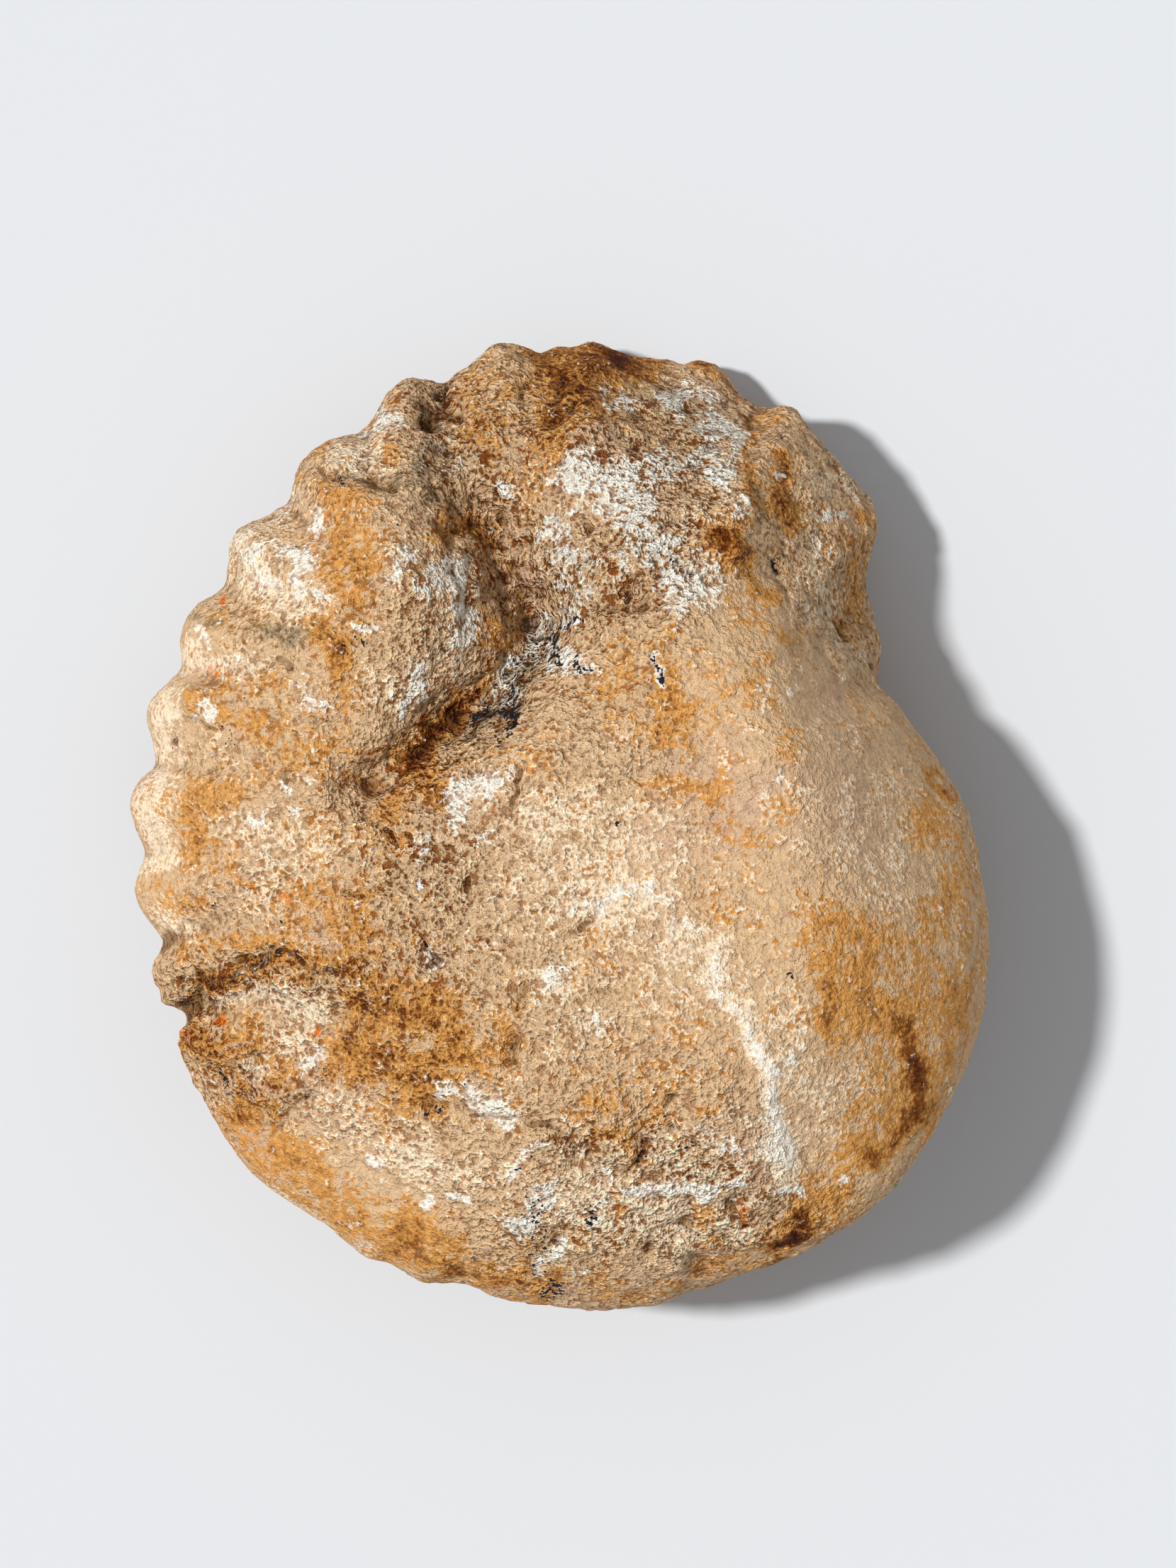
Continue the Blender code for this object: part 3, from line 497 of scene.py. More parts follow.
# Black manganese specks: amount, width and paths.
MANGANESE = [
    (0.73, 1.5, [(-0.8, 16.6), (-3.2, 13.4), (-5, 10.6), (-7.4, 9.4)]),
    (0.8, 0.5, [(-4.3, 9.9), (-3.4, 10.1)], [(2.4, 15), (3.2, 13.9)]),
    (0.6, 0.6, [(-4, 9.4), (-5.4, 7.6), (-5.8, 6.6)]),
    (0.6, 0.5, [(-6.6, 10.6), (-8, 9.6)]),
    (0.85, 0.45, [(0.4, 17.6), (1.6, 18.6), (2.6, 17.9)], [(7.8, -30.7), (7.4, -32.2)]),
    (0.9, 0.5, [(0, 16), (0.6, 14.6)], [(9.2, 14.4), (9.4, 13)], [(-21.3, -23)], [(3, -36.9),
        (2.7, -36.2)]),
    (1, 0.45, [(20.8, 35.7)], [(-10.2, 39.5), (-10.1, 40.3)], [(-35.5, 7.5), (-35.4, 6.9)], [(5.3, 0.2)]),
    (0.85, 0.35, [(21, 22.8), (20.8, 23.9)]),
    (0.7, 0.4, [(10.4, 23.9), (12.2, 22.9)], [(22.2, -36.6), (21.6, -38)]),
    (0.65, 0.4, [(7.8, 20.4), (10.2, 19.3)], [(-30.6, 8.6), (-30.6, 7)], [(-18, -7.3), (-19.4, -6.9)]),
    (0.6, 0.4, [(5.8, 20.8), (6.2, 19.8)], [(-15, 27.6)], [(-20.2, 15.4), (-19.6, 15.3)], [(-18.8, 20),
        (-18.2, 19.4)], [(-32, -6.8), (-31.8, -8)], [(-26.4, -8.8), (-25.4, -8.8)], [(-33.8, -18.6),
        (-33, -19.4)], [(-1.4, -31), (-3.6, -32.2)], [(-20, -14.8), (-23, -14.2)]),
    (0.95, 0.45, [(-21, 32.3), (-20, 32.1)], [(-12.2, -11.6)]),
    (0.85, 0.4, [(-18.4, 16.6), (-17.8, 15.8)]),
    (0.85, 0.5, [(-31.2, -24), (-30.8, -24.6)]),
    (0.7, 0.5, [(-29.6, -13.4), (-26.8, -13.1)], [(9.5, -28.8), (9.9, -27.4)]),
    (0.9, 0.4, [(21.4, -14.5)]),
    (0.9, 0.45, [(12.9, -29.5), (12, -30.4)]),
    (0.64, 1.2, [(-2, -35.4), (-1.6, -38.2), (-2, -40.2), (-1.4, -42)]),
    (1, 0.6, [(0.2, -43.3), (-1, -44)]),
    (0.75, 0.4, [(-7.7, -40)]),
    (0.8, 0.4, [(-12.6, -26.9), (-10.6, -27.1)]),
    (0.6, 0.45, [(-9.4, -25)]),
]

# Orange rust dots: amount, width and paths.
RUST = [
    (1.2, 0.55, [(-31.2, -18.7), (-30.3, -18.7)]),
    (1, 0.5, [(-34.4, -19.6), (-33.4, -19.4)]),
    (1.2, 0.5, [(-22.2, -19.6)]),
    (0.85, 0.5, [(-21.4, 35)]),
    (0.85, 0.45, [(-30.8, 20.2), (-30.3, 21.4)]),
    (0.75, 0.4, [(-6.9, 41)]),
    (0.65, 0.4, [(-13.4, 38.8)], [(-22.6, 1.3)]),
    (0.6, 0.6, [(-32.6, 14.3), (-31.4, 14.2)]),
    (0.7, 0.4, [(-25.5, -7.3)], [(-28.4, -6.5)]),
    (0.55, 0.45, [(-16.9, 8.6)]),
    (0.55, 0.4, [(-26.8, 24.8)]),
    (0.55, 0.8, [(17.2, -36.4)]),
    (0.5, 0.6, [(7.3, 21.6)]),
    (0.45, 0.6, [(1.8, 17.8)]),
    (0.45, 0.9, [(-17.2, 29.8)]),
]

# Pale cream skin, mostly where the ribs' hollows were rubbed clean, and painted light on the lit rim at
# the left and on the right flank: amount, width and paths.
CREAM_AND_LIGHT = [
    (0.16, 7, [(-34, 14), (-32, 0), (-24, -2)]),
    # painted light: lightens the right flank, which is turned from the sun
    (0.18, 7, [(26, 6), (29, -6)]),
    # the ribs' hollows and the rim at the left
    (1, 1.3, [(-20.6, 33.8), (-17, 33.4)]),
    (0.8, 1.4, [(-26, 28.6), (-23.6, 30.4)], [(-34.4, 15), (-28, 14)]),
    (0.9, 2.8, [(-28.6, 24.6), (-26.6, 21.4), (-23, 19.6)]),
    # on the lit rim at the left: cream skin with a painted highlight
    (0.75, 1.8, [(-36.4, 11), (-36.4, 4.6)]),
    (0.85, 2, [(-37.8, 2.2), (-37.2, -3)]),
    (1, 1.6, [(-36.2, -8.8), (-34.4, -11)]),
    (0.36, 3, [(-29, -1), (-22, -3), (-27, -6.6)]),
    (0.45, 2, [(-17.6, 13), (-14, 12)]),
    (0.4, 3, [(-13, 22), (-10, 14)]),
    # the lower left
    (0.9, 1.8, [(-30.6, -15.8), (-24, -16.6), (-22, -18)]),
    (0.8, 1.8, [(-24.6, -20.4), (-28, -23)]),
    (0.5, 3, [(-21, -26.6), (-13, -30.6)]),
    (0.5, 2.6, [(-14, -33), (-6, -33)]),
    (0.8, 0.9, [(-26.4, -34.4), (-21.6, -38), (-18, -39.8)]),
    # the middle
    (0.3, 12, [(0, -3), (3, -12)]),
    (0.35, 5, [(1, -1), (9, -3)]),
    (0.5, 2, [(6, -8), (10.4, -7.6), (11.4, -10)]),
    (0.45, 1.6, [(1.5, -7.2), (2.2, -8.4)]),
    (0.4, 3, [(12, -14), (18, -14)]),
    (2, 0.85, [(14.4, -12.4), (15.4, -15.4), (17.6, -19.6), (19.4, -23.4)]),
    (2.6, 1.1, [(19.1, -25.2), (20, -28.4), (20.7, -31), (21.2, -33)]),
    (0.35, 2.5, [(2, -19), (0, -15)]),
    (0.85, 3, [(3, -37), (16, -37.4)]),
    (0.45, 3.5, [(2, -32), (16, -30)]),
    # the right
    (0.5, 2.4, [(21.5, -18), (21.8, -22.5)]),
    (0.2, 3, [(27, 2.5), (27, -4)], [(22, -2), (19, 5)]),
    (0.25, 2.5, [(31.5, -3.5), (32.5, -8)]),
    (0.5, 2, [(24, -25), (28, -24)]),
    (0.45, 2, [(22.5, -29.5), (26, -29)]),
    # the top
    (0.3, 2.5, [(3, 33), (9, 29)]),
    (0.5, 2, [(11, 39.5), (15, 38)]),
    (0.45, 2, [(13, 28), (8, 24)]),
    (0.5, 1.5, [(24.4, 31.6), (27.4, 31)]),
    (0.35, 2.6, [(23.4, 28), (25.6, 21)]),
    (0.5, 1.6, [(23, 21), (28, 15.6)]),
    (0.35, 2.5, [(-3, 30), (-1, 24)]),
]

# Where each stain lies on the upper flank, and its strength on the lower one, which is noise alone: mean,
# swing, size of the patches in millimetres, layers and seed.
STAINS = dict(iron=IRON_AND_SHADE, chalk=CHALK, grime=GRIME_AND_SHADE, manganese=MANGANESE, rust=RUST, cream=CREAM_AND_LIGHT)
UNDERSIDE = {
    "iron": (0.3, 0.55, 9, 3, 41),
    "chalk": (0.1, 0.5, 6, 3, 57),
    "grime": (0.15, 0.4, 7, 3, 71),
    "cream": (0.3, 0.3, 12, 2, 83),
}

# Strokes wander by this many millimetres, in patches of this size, as real cracks and stains do.
WANDER = 0.8
WANDER_SIZE = 2.8

# The detail's strokes swell and fade by noise: mean, swing, size and seed.
DETAIL_SWELL = (0.85, 0.9, 1.7, 31)

# How coarse the stone is where no stroke says otherwise, from 0 to 1.
COARSE_MEAN = 0.45

# Relief all over: height, height added on the coarsest stone, size, layers and seed.
SKIN_RELIEF = [(0.12, 0.25, 6.0, 3, 11), (0.04, 0.38, 1.5, 2, 23)]

SAND = "#D7B38A"
PINK = "#CDA78B"
CREAM_SKIN = "#F4DDBD"
OCHRE = "#D59445"
BROWN = "#8C4F16"
UMBER = "#562405"
OLIVE = "#887659"
CHALK_WHITE = "#F8EEDD"
# painted shade in the skin's hollows
HOLLOW_SHADE = "#7A5227"
BLUE_BLACK = "#24232B"
ORANGE = "#EE7F28"
PIT_SHADE = "#B08353"  # painted shade in a pit, as a tint over a white stone
CREST_HIGHLIGHT = "#929089"  # painted highlight: how much a grain's crest is lightened

# Noise patterns in the stone: size in millimetres, detail, sharpness and twist.
GRAINS = {
    "cloud": (14, 3, 0.5, 0),
    "blotch": (3.2, 5, 0.64, 0.5),
    "fleck": (1.1, 4, 0.66, 0.3),
    "grain": (0.42, 1.2, 0.6, 0.1),
}

# A ragged edge mixes blotches and flecks in equal shares, and grain: a crust sits on the grains, a stain
# sinks between them.
PATCH_SHARE = 0.40
GRAIN_SHARE = 0.20

# Crumbs of the broken grain: size and bend in millimetres, and their share and the sand's in the height.
CRUMB_SIZE = 0.95
CRUMB_BEND = 1.0
CRUMB_SHARE = 0.35
SAND_SHARE = 0.65

# Heights of the crumbs, from 0 to 1, between which painted shade darkens a pit and a painted highlight
# lightens a crest.
PITS = (0.46, 0.37)
CRESTS = (0.52, 0.64)

# Depth of the crumbs, which also sets how strong their painted shade and highlight are, on the smoothest
# stone and at coarseness COARSEST, share of the flecks, and the whole height in millimetres.
SMOOTH_DEPTH = 0.15
COARSE_DEPTH = 1.6
COARSEST = 1.4
FLECK_SHARE = 0.45
RELIEF_DEPTH = 2.1

# Open grains scatter the light, so the stone has almost no shine.
STONE_ROUGHNESS = 0.9
STONE_SHINE = 0.15

# Coats of colour from the stone outwards: colour, paint or one even amount, pattern of its ragged edge and
# how far that reaches, the amounts at which the coat starts and is full, and how much it then hides.
COATS = [
    (PINK, 0.3, "cloud", 3, 0.3, 1.2, 1),
    (OCHRE, 0.1, "stain", 7, 0.55, 1.1, 0.6),
    # the cream coat also carries painted light on the lit left rim and the right flank
    (CREAM_SKIN, "cream", "crust", 7, 0.3, 0.75, 0.95),
    (CHALK_WHITE, "coarse", "crust", 7, 1.3, 2, 0.8),
    # the iron and grime coats also carry a few rows of painted shade
    (OCHRE, "iron", "stain", 6, 0.16, 0.6, 0.9),
    (BROWN, "iron", "stain", 3.4, 0.66, 1.2, 1),
    (UMBER, "iron", "stain", 3, 1.1, 1.6, 1),
    (OLIVE, "grime", "stain", 3, 0.25, 0.8, 0.85),
    (CHALK_WHITE, "chalk", "crust", 5, 0.33, 0.7, 0.95),
    # painted shade: the skin is darker where it is hollow
    (HOLLOW_SHADE, "hollow", "fleck", 0.6, 0.08, 0.7, 0.8),
    (BLUE_BLACK, "manganese", "grain", 3.2, 0.76, 0.95, 1),
    (ORANGE, "rust", "fleck", 1.6, 0.4, 0.8, 1),
]

ROOM_COLOUR = "#F4F6FA"
FLOOR_COLOUR = "#D1D3D5"
FLOOR_ROUGHNESS = 0.8
FLOOR_HALF = 1.5  # metres
FLOOR_GAP = 5e-5  # metres between the stone's rest and the floor


def linear(hex_colour):
    """A six-digit sRGB hex colour as linear red, green, blue and alpha."""
    parts = np.array([int(hex_colour[i : i + 2], 16) / 255 for i in (1, 3, 5)])
    low, high = parts / 12.92, ((parts + 0.055) / 1.055) ** 2.4
    return (*np.where(parts <= 0.04045, low, high), 1.0)


def ease(x, low, high):
    """0 below low, 1 above high, and smooth between them."""
    t = np.clip((x - low) / (high - low), 0, 1)
    return t * t * (3 - 2 * t)


def closed_curve(points, steps=12):
    """A smooth closed line through the points: a Catmull-Rom spline with even steps on each leg."""
    p = np.array(points, float)
    before, here = np.roll(p, 1, 0)[:, None], p[:, None]
    after, beyond = np.roll(p, -1, 0)[:, None], np.roll(p, -2, 0)[:, None]
    t = (np.arange(steps) / steps)[None, :, None]
    line = 2 * here + (after - before) * t
    line = line + (2 * before - 5 * here + 4 * after - beyond) * t**2
    line = line + (3 * here - before - 3 * after + beyond) * t**3
    return (line / 2).reshape(-1, 2)


def outline_radii():
    """The outline as a radius for each angle, sharp with its scallops and smooth without them."""
    line = closed_curve(OUTLINE)
    angle = np.arctan2(line[:, 1], line[:, 0])
    even = np.linspace(-math.pi, math.pi, OUTLINE_STEPS, endpoint=False)
    sharp = np.interp(even, angle, np.hypot(*line.T), period=2 * math.pi)
    waves = np.fft.rfft(sharp)
    waves[SMOOTH_WAVES + 1 :] = 0
    return even, sharp, np.fft.irfft(waves, len(even))


def rim_section(q):
    """Across a flank from its middle, q 0, to the widest line, q 1: (share of the radius, share of the
    height) of a superellipse, in even steps along its curve."""
    a = np.linspace(0, math.pi / 2, RIM_STEPS)
    out, up = np.sin(a) ** (2 / RIM_POWER), np.cos(a) ** (2 / RIM_POWER)
    steps = np.hypot(np.diff(out) * WIDTH / 2, np.diff(up) * RIM_HEIGHT)
    along = np.concatenate([[0], np.cumsum(steps)])
    along /= along[-1]
    return np.interp(q, along, out), np.interp(q, along, up)


def plan_place(angle, share):
    """Plan position at a share of the radius: the smooth outline inside, the scalloped one at the rim."""
    even, sharp, smooth = outline_radii()
    inner = np.interp(angle, even, smooth, period=2 * math.pi)
    outer = np.interp(angle, even, sharp, period=2 * math.pi)
    radius = inner + (outer - inner) * ease(share, FLUTE_START, FLUTE_FULL)
    return share * radius * np.cos(angle), share * radius * np.sin(angle)


def mid_level(angle, share):
    """The level where the two flanks meet: the widest line's at the rim, one level at the middle."""
    degrees, levels = np.array(RIM_LEVELS, float).T
    rim = np.interp(np.degrees(angle) % 360, degrees, levels, period=360)
    return MIDDLE_LEVEL + (rim - MIDDLE_LEVEL) * share**2


def spot_surface(spots, side):
    """The smooth surface (a thin-plate spline) that brings the flank to each spot's height once the rim
    has rounded it off. side is +1 for the upper flank and -1 for the lower one."""
    x, y, height = np.array(spots, float).T
    even, _, smooth = outline_radii()
    angle = np.arctan2(y, x)
    share = np.hypot(x, y) / np.interp(angle, even, smooth, period=2 * math.pi)
    share = np.minimum(share, SPOT_LIMIT)
    up = (1 - share**RIM_POWER) ** (1 / RIM_POWER)
    rise = side * (height - mid_level(angle, share)) / up

    def bend(x1, y1):
        d2 = (x1[:, None] - x[None]) ** 2 + (y1[:, None] - y[None]) ** 2
        return d2 * np.log(d2 + 1e-9)

    count = len(x)
    system = np.zeros((count + 3, count + 3))
    system[:count, :count] = bend(x, y)
    system[:count, count:] = np.stack([np.ones(count), x, y], 1)
    system[count:, :count] = system[:count, count:].T
    weights = np.linalg.solve(system, np.concatenate([rise, np.zeros(3)]))

    def surface(x1, y1):
        return bend(x1, y1) @ weights[:count] + weights[count] + weights[-2] * x1 + weights[-1] * y1

    return surface


def stroke(x, y, path, width):
    """A brush stroke in plan: a bell curve, 1 on the path of straight legs, of the distance to it."""
    nearest = np.full(len(x), 1e9)
    ends = path[1:] or path
    for (x0, y0), (x1, y1) in zip(path, ends):
        leg = max((x1 - x0) ** 2 + (y1 - y0) ** 2, 1e-9)
        t = np.clip(((x - x0) * (x1 - x0) + (y - y0) * (y1 - y0)) / leg, 0, 1)
        nearest = np.minimum(nearest, np.hypot(x - x0 - t * (x1 - x0), y - y0 - t * (y1 - y0)))
    return np.exp(-((nearest / width) ** 2))


def strokes(x, y, rows):
    """The sum of strokes, each row an amount, a width and the paths that share them."""
    return sum(amount * stroke(x, y, path, width) for amount, width, *paths in rows for path in paths)


def noise(points, size, seed):
    """Smooth random numbers from -1 to 1: each corner of a lattice of cubes, size across, holds a
    number scrambled from its place, and a point takes their mean, weighted smoothly by nearness."""
    cell = points / size + seed * 7.31
    low = np.floor(cell).astype(np.int64)
    part = cell - low
    part = part**3 * (part * (part * 6 - 15) + 10)
    total = np.zeros(len(points))
    for corner in np.ndindex(2, 2, 2):
        i, j, k = (low + corner).T
        code = (i * 73856093) ^ (j * 19349663) ^ (k * 83492791) ^ (seed * 40503)
        code = ((code ^ (code >> 13)) * 1274126177) & 0x7FFFFFFF
        value = ((code ^ (code >> 15)) & 0xFFFF) / 32767.5 - 1
        total += value * np.prod(np.where(corner, part, 1 - part), axis=1)
    return total


def rough(points, size, layers, seed):
    """Noise on noise: each layer is half the size and half the height of the one before."""
    return sum(noise(points, size / 2**n, seed + n) / 2**n for n in range(layers))


def ledge(x, y, path, reach):
    """1 just right of the path as it is walked, 0 on its left, fading as a bell curve over the reach and
    smoothly to nothing at both ends of the path."""
    nearest, side, place, walked = np.full(len(x), 1e9), np.zeros(len(x)), np.zeros(len(x)), 0.0
    for (x0, y0), (x1, y1) in zip(path, path[1:]):
        leg = math.hypot(x1 - x0, y1 - y0)
        along = np.clip(((x - x0) * (x1 - x0) + (y - y0) * (y1 - y0)) / leg, 0, leg)
        gap = np.hypot(x - x0 - along * (x1 - x0) / leg, y - y0 - along * (y1 - y0) / leg)
        right = ((x - x0) * (y1 - y0) - (y - y0) * (x1 - x0)) / leg
        closer = gap < nearest
        side = np.where(closer, np.sign(right) * gap, side)
        place = np.where(closer, walked + along, place)
        nearest = np.minimum(nearest, gap)
        walked += leg
    fade = ease(place, 0, reach) * ease(walked - place, 0, reach)
    return ease(side, *LEDGE_STEP) * np.exp(-((nearest / reach) ** 2)) * fade


def cube_skin(cells):
    """A cube's skin as a lattice: its points from -1 to 1, and its square cells facing outwards."""
    i, j, k = np.indices((cells + 1,) * 3)
    skin = (np.minimum(np.minimum(i, j), k) == 0) | (np.maximum(np.maximum(i, j), k) == cells)
    number = np.full(skin.shape, -1)
    number[skin] = np.arange(skin.sum())
    points = np.stack([i[skin], j[skin], k[skin]], 1) * 2 / cells - 1
    squares = []
    for axis in range(3):
        for end in (0, cells):
            sheet = np.take(number, end, axis=axis)
            rows = [sheet[:-1, :-1], sheet[1:, :-1], sheet[1:, 1:], sheet[:-1, 1:]]
            square = np.stack(rows, -1).reshape(-1, 4)
            faces_out = (end == cells) != (axis == 1)
            squares.append(square if faces_out else square[:, ::-1])
    return points, np.concatenate(squares)


def stone_form(cube):
    """The stone without its fine relief. A cube point gives a direction (angle round, tilt from +Z); the
    tilt gives how far out and how high on the rim's superellipse, the angle and that the plan place,
    and the spot heights, ribs and hollows the height over the flanks' shared level."""
    spread = np.tan(cube * math.pi / 4)
    spread /= np.linalg.norm(spread, axis=1)[:, None]
    angle = np.arctan2(spread[:, 1], spread[:, 0])
    tilt = np.arccos(np.clip(spread[:, 2], -1, 1)) / math.pi
    upper = tilt < TOP_SHARE
    share, up = rim_section(np.where(upper, tilt / TOP_SHARE, (1 - tilt) / (1 - TOP_SHARE)))
    x, y = plan_place(angle, share)
    ribs = strokes(x, y, RIBS)
    top = spot_surface(TOP_SPOTS, 1)(x, y) + ribs + strokes(x, y, UPPER_RELIEF)
    base = spot_surface(BASE_SPOTS, -1)(x, y) + ribs
    level = mid_level(angle, share)
    z = level + np.where(upper, top, -base) * up
    return np.stack([x, y, z], 1), ease(z, level - RIM_BLEND, level + RIM_BLEND)


def as_seen(points):
    """Where the photograph's camera sees each point, as a place in the outline's plane."""
    grow = (CAMERA_HEIGHT - OUTLINE_HEIGHT) / (CAMERA_HEIGHT - points[:, 2])
    return CAMERA_X + (points[:, 0] - CAMERA_X) * grow, CAMERA_Y + (points[:, 1] - CAMERA_Y) * grow


def outward(points, squares):
    """The direction out of the skin at each point: the mean of its squares' diagonals' cross products."""
    a, b, c, d = (points[squares[:, n]] for n in range(4))
    faces = np.cross(c - a, d - b)
    total = np.zeros_like(points)
    for corner in range(4):
        np.add.at(total, squares[:, corner], faces)
    return total / np.linalg.norm(total, axis=1)[:, None]


def hollowness(points, squares):
    """How hollow the skin is at each point, in millimetres: how far the mean of its neighbours stands out
    of the skin there, added up over one, three and eleven rounds of taking that mean."""
    pairs = np.concatenate([squares[:, [n, (n + 1) % 4]] for n in range(4)])
    count = np.bincount(pairs[:, 0], minlength=len(points))[:, None]
    out = outward(points, squares)

    def mean(values):
        columns = [np.bincount(pairs[:, 0], values[pairs[:, 1], n], len(points)) for n in range(3)]
        return np.stack(columns, 1) / count

    total, smooth = np.zeros(len(points)), points
    for rounds in (1, 2, 8):
        for _ in range(rounds):
            smooth = mean(smooth)
        total += ((smooth - points) * out).sum(1)
    return total


def stone_skin():
    """The stone's points with all their relief, its squares, and its paint: an amount for each stain at
    each point, some of whose rows are painted shade and painted light, and how coarse and how hollow the
    skin is there, the hollowness setting painted shade in the hollows. Strokes lie on the upper flank,
    wandering by noise as real cracks and stains do, and noise alone stains the lower flank."""
    cube, squares = cube_skin(CELLS)
    points, on_top = stone_form(cube)
    x, y = as_seen(points)
    x = x + WANDER * rough(points, WANDER_SIZE, 3, 5)
    y = y + WANDER * rough(points, WANDER_SIZE, 3, 17)
    coarse = np.clip(COARSE_MEAN + (strokes(x, y, COARSE) - strokes(x, y, WORN)) * on_top, 0.05, 1)
    mean, swing, size, seed = DETAIL_SWELL
    relief = strokes(x, y, DETAIL) * (mean + swing * noise(points, size, seed))
    relief -= sum(drop * ledge(x, y, path, reach) for drop, reach, path in LEDGES)
    relief *= on_top
    for height, more, size, layers, seed in SKIN_RELIEF:
        relief += (height + more * coarse) * rough(points, size, layers, seed)
    points = points + outward(points, squares) * relief[:, None]
    points[:, 2] = np.maximum(points[:, 2], 0)

    paint = {name: strokes(x, y, rows) * on_top for name, rows in STAINS.items()}
    for name, (mean, swing, size, layers, seed) in UNDERSIDE.items():
        paint[name] += (1 - on_top) * (mean + swing * rough(points, size, layers, seed))
    paint["coarse"] = coarse
    paint["hollow"] = hollowness(points, squares)
    return points, squares, paint


def add_node(tree, kind, inputs=(), **settings):
    """Adds a shader node, sets its properties, sets or links its inputs, and returns it."""
    node = tree.nodes.new("ShaderNode" + kind)
    for name, value in settings.items():
        setattr(node, name, value)
    for key, value in dict(inputs).items():
        if isinstance(value, bpy.types.NodeSocket):
            tree.links.new(value, node.inputs[key])
        else:
            node.inputs[key].default_value = value
    return node


def multiply_add(tree, value, factor, added=0, kind="Math"):
    """The value times the factor, plus what is added."""
    return add_node(tree, kind, {0: value, 1: factor, 2: added}, operation="MULTIPLY_ADD").outputs[0]


def cover(tree, value, start, full, most):
    """How much a layer hides: nothing below start, most above full, and smooth between them."""
    limits = {"Value": value, 1: start, 2: full, 4: most}
    return add_node(tree, "MapRange", limits, interpolation_type="SMOOTHSTEP").outputs[0]


def laid_over(tree, share, under, colour, blend="MIX"):
    """The colour below with another over it, as far as share says."""
    colours = {0: share, 6: under, 7: colour}
    return add_node(tree, "Mix", colours, data_type="RGBA", blend_type=blend).outputs[2]


def coat(tree, under, colour, amount, ragged, reach, start, full, most):
    """One stain over the colour below it. It starts where the amount plus reach times the ragged noise
    (0.5 on average, so it can take away as well) passes start, and hides as much as most from full on."""
    value = multiply_add(tree, ragged, reach, amount)
    share = cover(tree, value, start + reach / 2, full + reach / 2, most)
    return laid_over(tree, share, under, colour)


def stone_patterns(tree, place):
    """The noise patterns of the stone by name, with the two mixed for ragged edges, all 0.5 on average."""
    patterns = {}
    for name, (size, detail, sharpness, twist) in GRAINS.items():
        settings = {"Vector": place, "Scale": 1 / (size * MM), "Detail": detail,
                    "Roughness": sharpness, "Distortion": twist}
        patterns[name] = add_node(tree, "TexNoise", settings).outputs["Fac"]
    both = multiply_add(tree, patterns["blotch"], 1, patterns["fleck"])
    for name, share, lift in (("crust", GRAIN_SHARE, 0), ("stain", -GRAIN_SHARE, GRAIN_SHARE)):
        patches = multiply_add(tree, both, PATCH_SHARE, lift)
        patterns[name] = multiply_add(tree, patterns["grain"], share, patches)
    return patterns


def crumb_height(tree, place, patterns):
    """How high the broken grain stands, from 0 to 1: round crumbs, which are cells around points scattered
    at random, bent by the flecks' noise, with sand on them."""
    shift = patterns["fleck"].node.outputs["Color"]
    bent = multiply_add(tree, shift, (CRUMB_BEND * MM,) * 3, place, "VectorMath")
    cell = add_node(tree, "TexVoronoi", {"Vector": bent, "Scale": 1 / (CRUMB_SIZE * MM)})
    crumb = multiply_add(tree, cell.outputs["Distance"], -CRUMB_SHARE, CRUMB_SHARE)
    return multiply_add(tree, patterns["grain"], SAND_SHARE, crumb)


def weathered_limestone():
    """Weathered limestone, an internal mould dug from clay: quite matt, because its skin is open grains
    of about half a millimetre, and blotched where iron, chalk and manganese settled in it. Painted shade
    darkens its hollows and the pits between its grains, and a painted highlight lightens the grains'
    crests."""
    material = bpy.data.materials.new("weathered_limestone")
    material.use_nodes = True
    tree = material.node_tree
    place = add_node(tree, "TexCoord").outputs["Object"]
    names = [*STAINS, "coarse", "hollow"]
    paint = {name: add_node(tree, "Attribute", attribute_name=name).outputs["Fac"] for name in names}
    patterns = stone_patterns(tree, place)

    colour = linear(SAND)
    for hue, amount, pattern, *limits in COATS:
        colour = coat(tree, colour, linear(hue), paint.get(amount, amount), patterns[pattern], *limits)

    height = crumb_height(tree, place, patterns)
    coarseness = {"Value": paint["coarse"], 1: 0, 2: COARSEST, 3: SMOOTH_DEPTH, 4: COARSE_DEPTH}
    deep = add_node(tree, "MapRange", coarseness).outputs[0]
    # painted shade in the crumbs' pits and a painted highlight on their crests, as strong as the stone is
    # deep
    for (start, full), tint, blend in ((PITS, PIT_SHADE, "MULTIPLY"), (CRESTS, CREST_HIGHLIGHT, "DODGE")):
        share = cover(tree, height, start, full, deep)
        colour = laid_over(tree, share, colour, linear(tint), blend)

    lumpy = multiply_add(tree, patterns["fleck"], FLECK_SHARE, multiply_add(tree, height, deep))
    bump = add_node(tree, "Bump", {"Height": lumpy, "Distance": RELIEF_DEPTH * MM})

    shader = tree.nodes["Principled BSDF"]
    tree.links.new(colour, shader.inputs["Base Color"])
    tree.links.new(bump.outputs["Normal"], shader.inputs["Normal"])
    shader.inputs["Roughness"].default_value = STONE_ROUGHNESS
    shader.inputs["Specular IOR Level"].default_value = STONE_SHINE
    return material


def placed(name, data):
    """A new object in the scene."""
    thing = bpy.data.objects.new(name, data)
    bpy.context.scene.collection.objects.link(thing)
    return thing


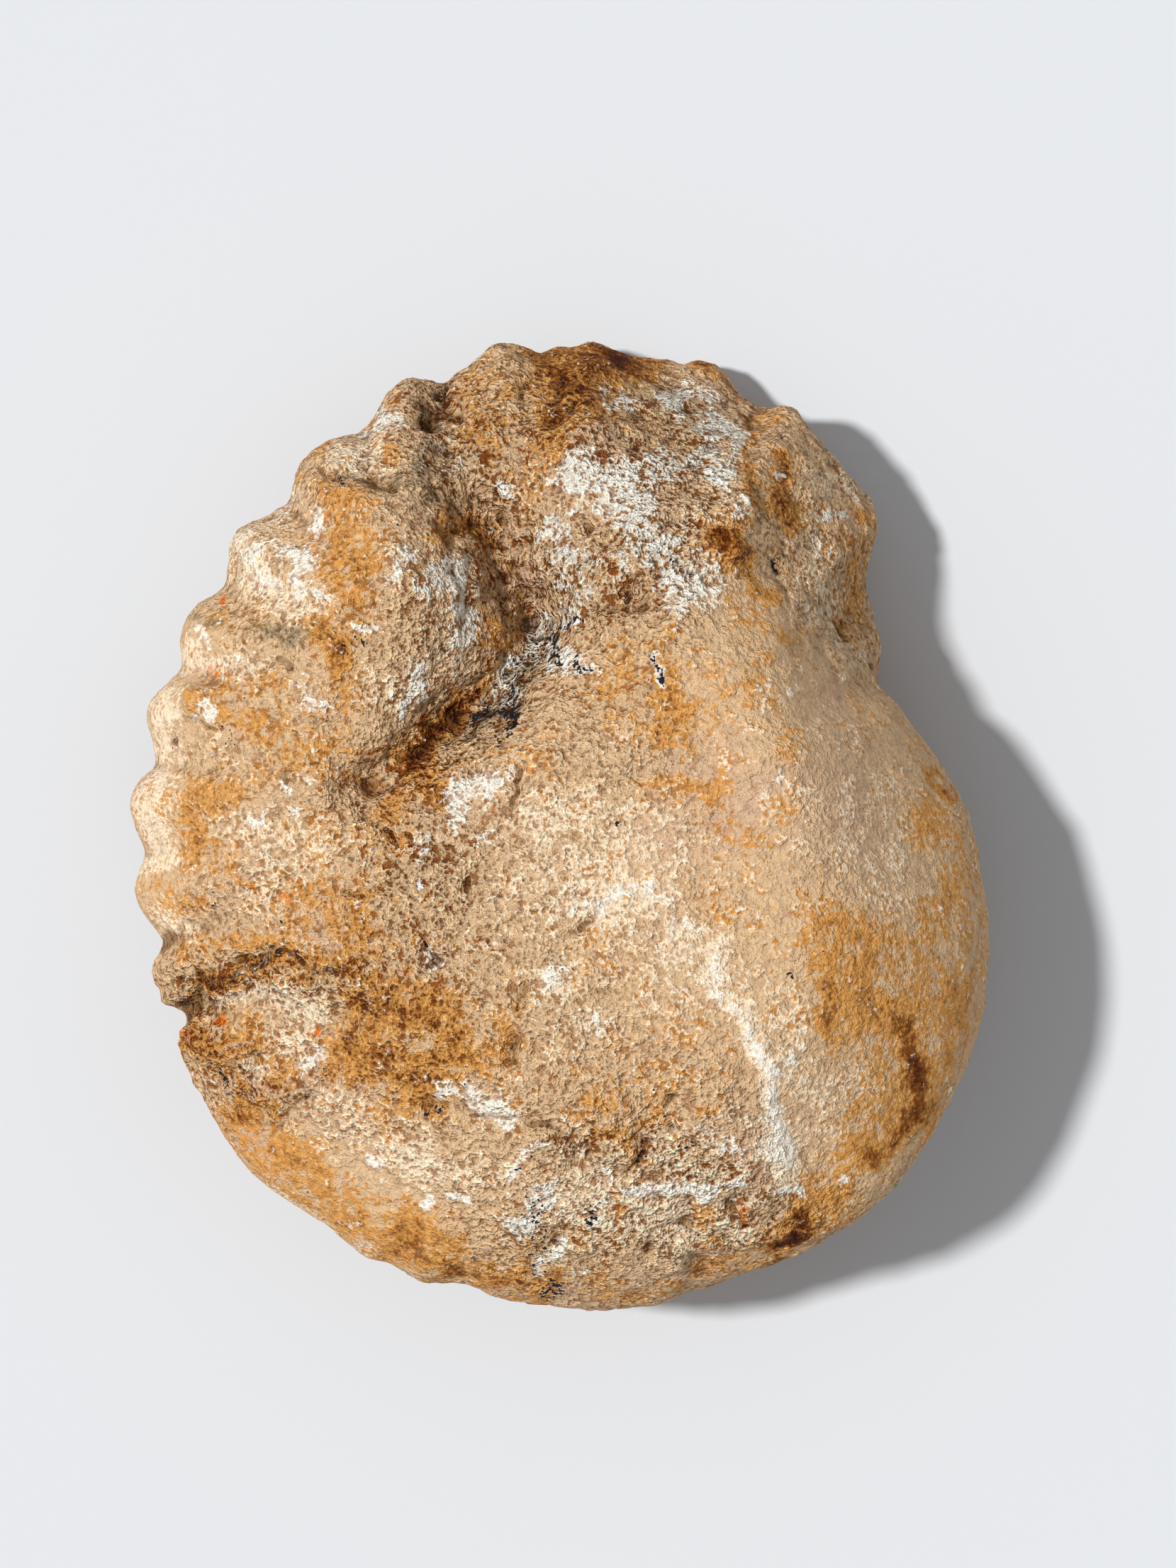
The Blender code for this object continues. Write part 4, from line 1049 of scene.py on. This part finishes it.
def ammonite_stone():
    """The whole fossil as one skin."""
    points, squares, paint = stone_skin()
    mesh = bpy.data.meshes.new("ammonite_stone")
    mesh.from_pydata((points * MM).tolist(), [], squares.tolist())
    mesh.update()
    mesh.shade_smooth()
    for name, amounts in paint.items():
        values = mesh.attributes.new(name, "FLOAT", "POINT").data
        values.foreach_set("value", amounts.astype(np.float32))
    mesh.materials.append(weathered_limestone())
    stone = placed("ammonite_stone", mesh)
    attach(stone, "root")
    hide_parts("ammonite")


def pale_floor():
    """A plain pale table top, just under the stone."""
    material = bpy.data.materials.new("pale_matt_floor")
    material.use_nodes = True
    shader = material.node_tree.nodes["Principled BSDF"]
    shader.inputs["Base Color"].default_value = linear(FLOOR_COLOUR)
    shader.inputs["Roughness"].default_value = FLOOR_ROUGHNESS
    mesh = bpy.data.meshes.new("floor")
    signs = ((-1, -1), (1, -1), (1, 1), (-1, 1))
    corners = [(x * FLOOR_HALF, y * FLOOR_HALF, -FLOOR_GAP) for x, y in signs]
    mesh.from_pydata(corners, [], [(0, 1, 2, 3)])
    mesh.materials.append(material)
    placed("floor", mesh)


def studio():
    """A soft sun from the left, and a pale room that fills the shadows."""
    lamp = bpy.data.lights.new("window_sun", "SUN")
    lamp.energy = SUN_STRENGTH
    lamp.angle = math.radians(SUN_ANGLE)
    tilt = math.radians(90 - SUN_ELEVATION)
    placed("window_sun", lamp).rotation_euler = (0, tilt, math.radians(SUN_BEARING))
    room = bpy.data.worlds.new("pale_room")
    room.use_nodes = True
    light = room.node_tree.nodes["Background"].inputs
    light["Color"].default_value = linear(ROOM_COLOUR)
    light["Strength"].default_value = ROOM_STRENGTH
    bpy.context.scene.world = room
    bpy.context.scene.view_settings.view_transform = "Standard"


def camera():
    """The photograph's camera, looking straight down. The sensor's long side is the frame's height."""
    lens = bpy.data.cameras.new("camera")
    lens.sensor_width = SENSOR
    lens.lens = SENSOR * PIXELS_PER_MM * (CAMERA_HEIGHT - OUTLINE_HEIGHT) / PHOTO_HIGH
    lens.clip_end = 10
    eye = placed("camera", lens)
    eye.location = (CAMERA_X * MM, CAMERA_Y * MM, CAMERA_HEIGHT * MM)
    bpy.context.scene.camera = eye


camera()
studio()
pale_floor()
ammonite_stone()
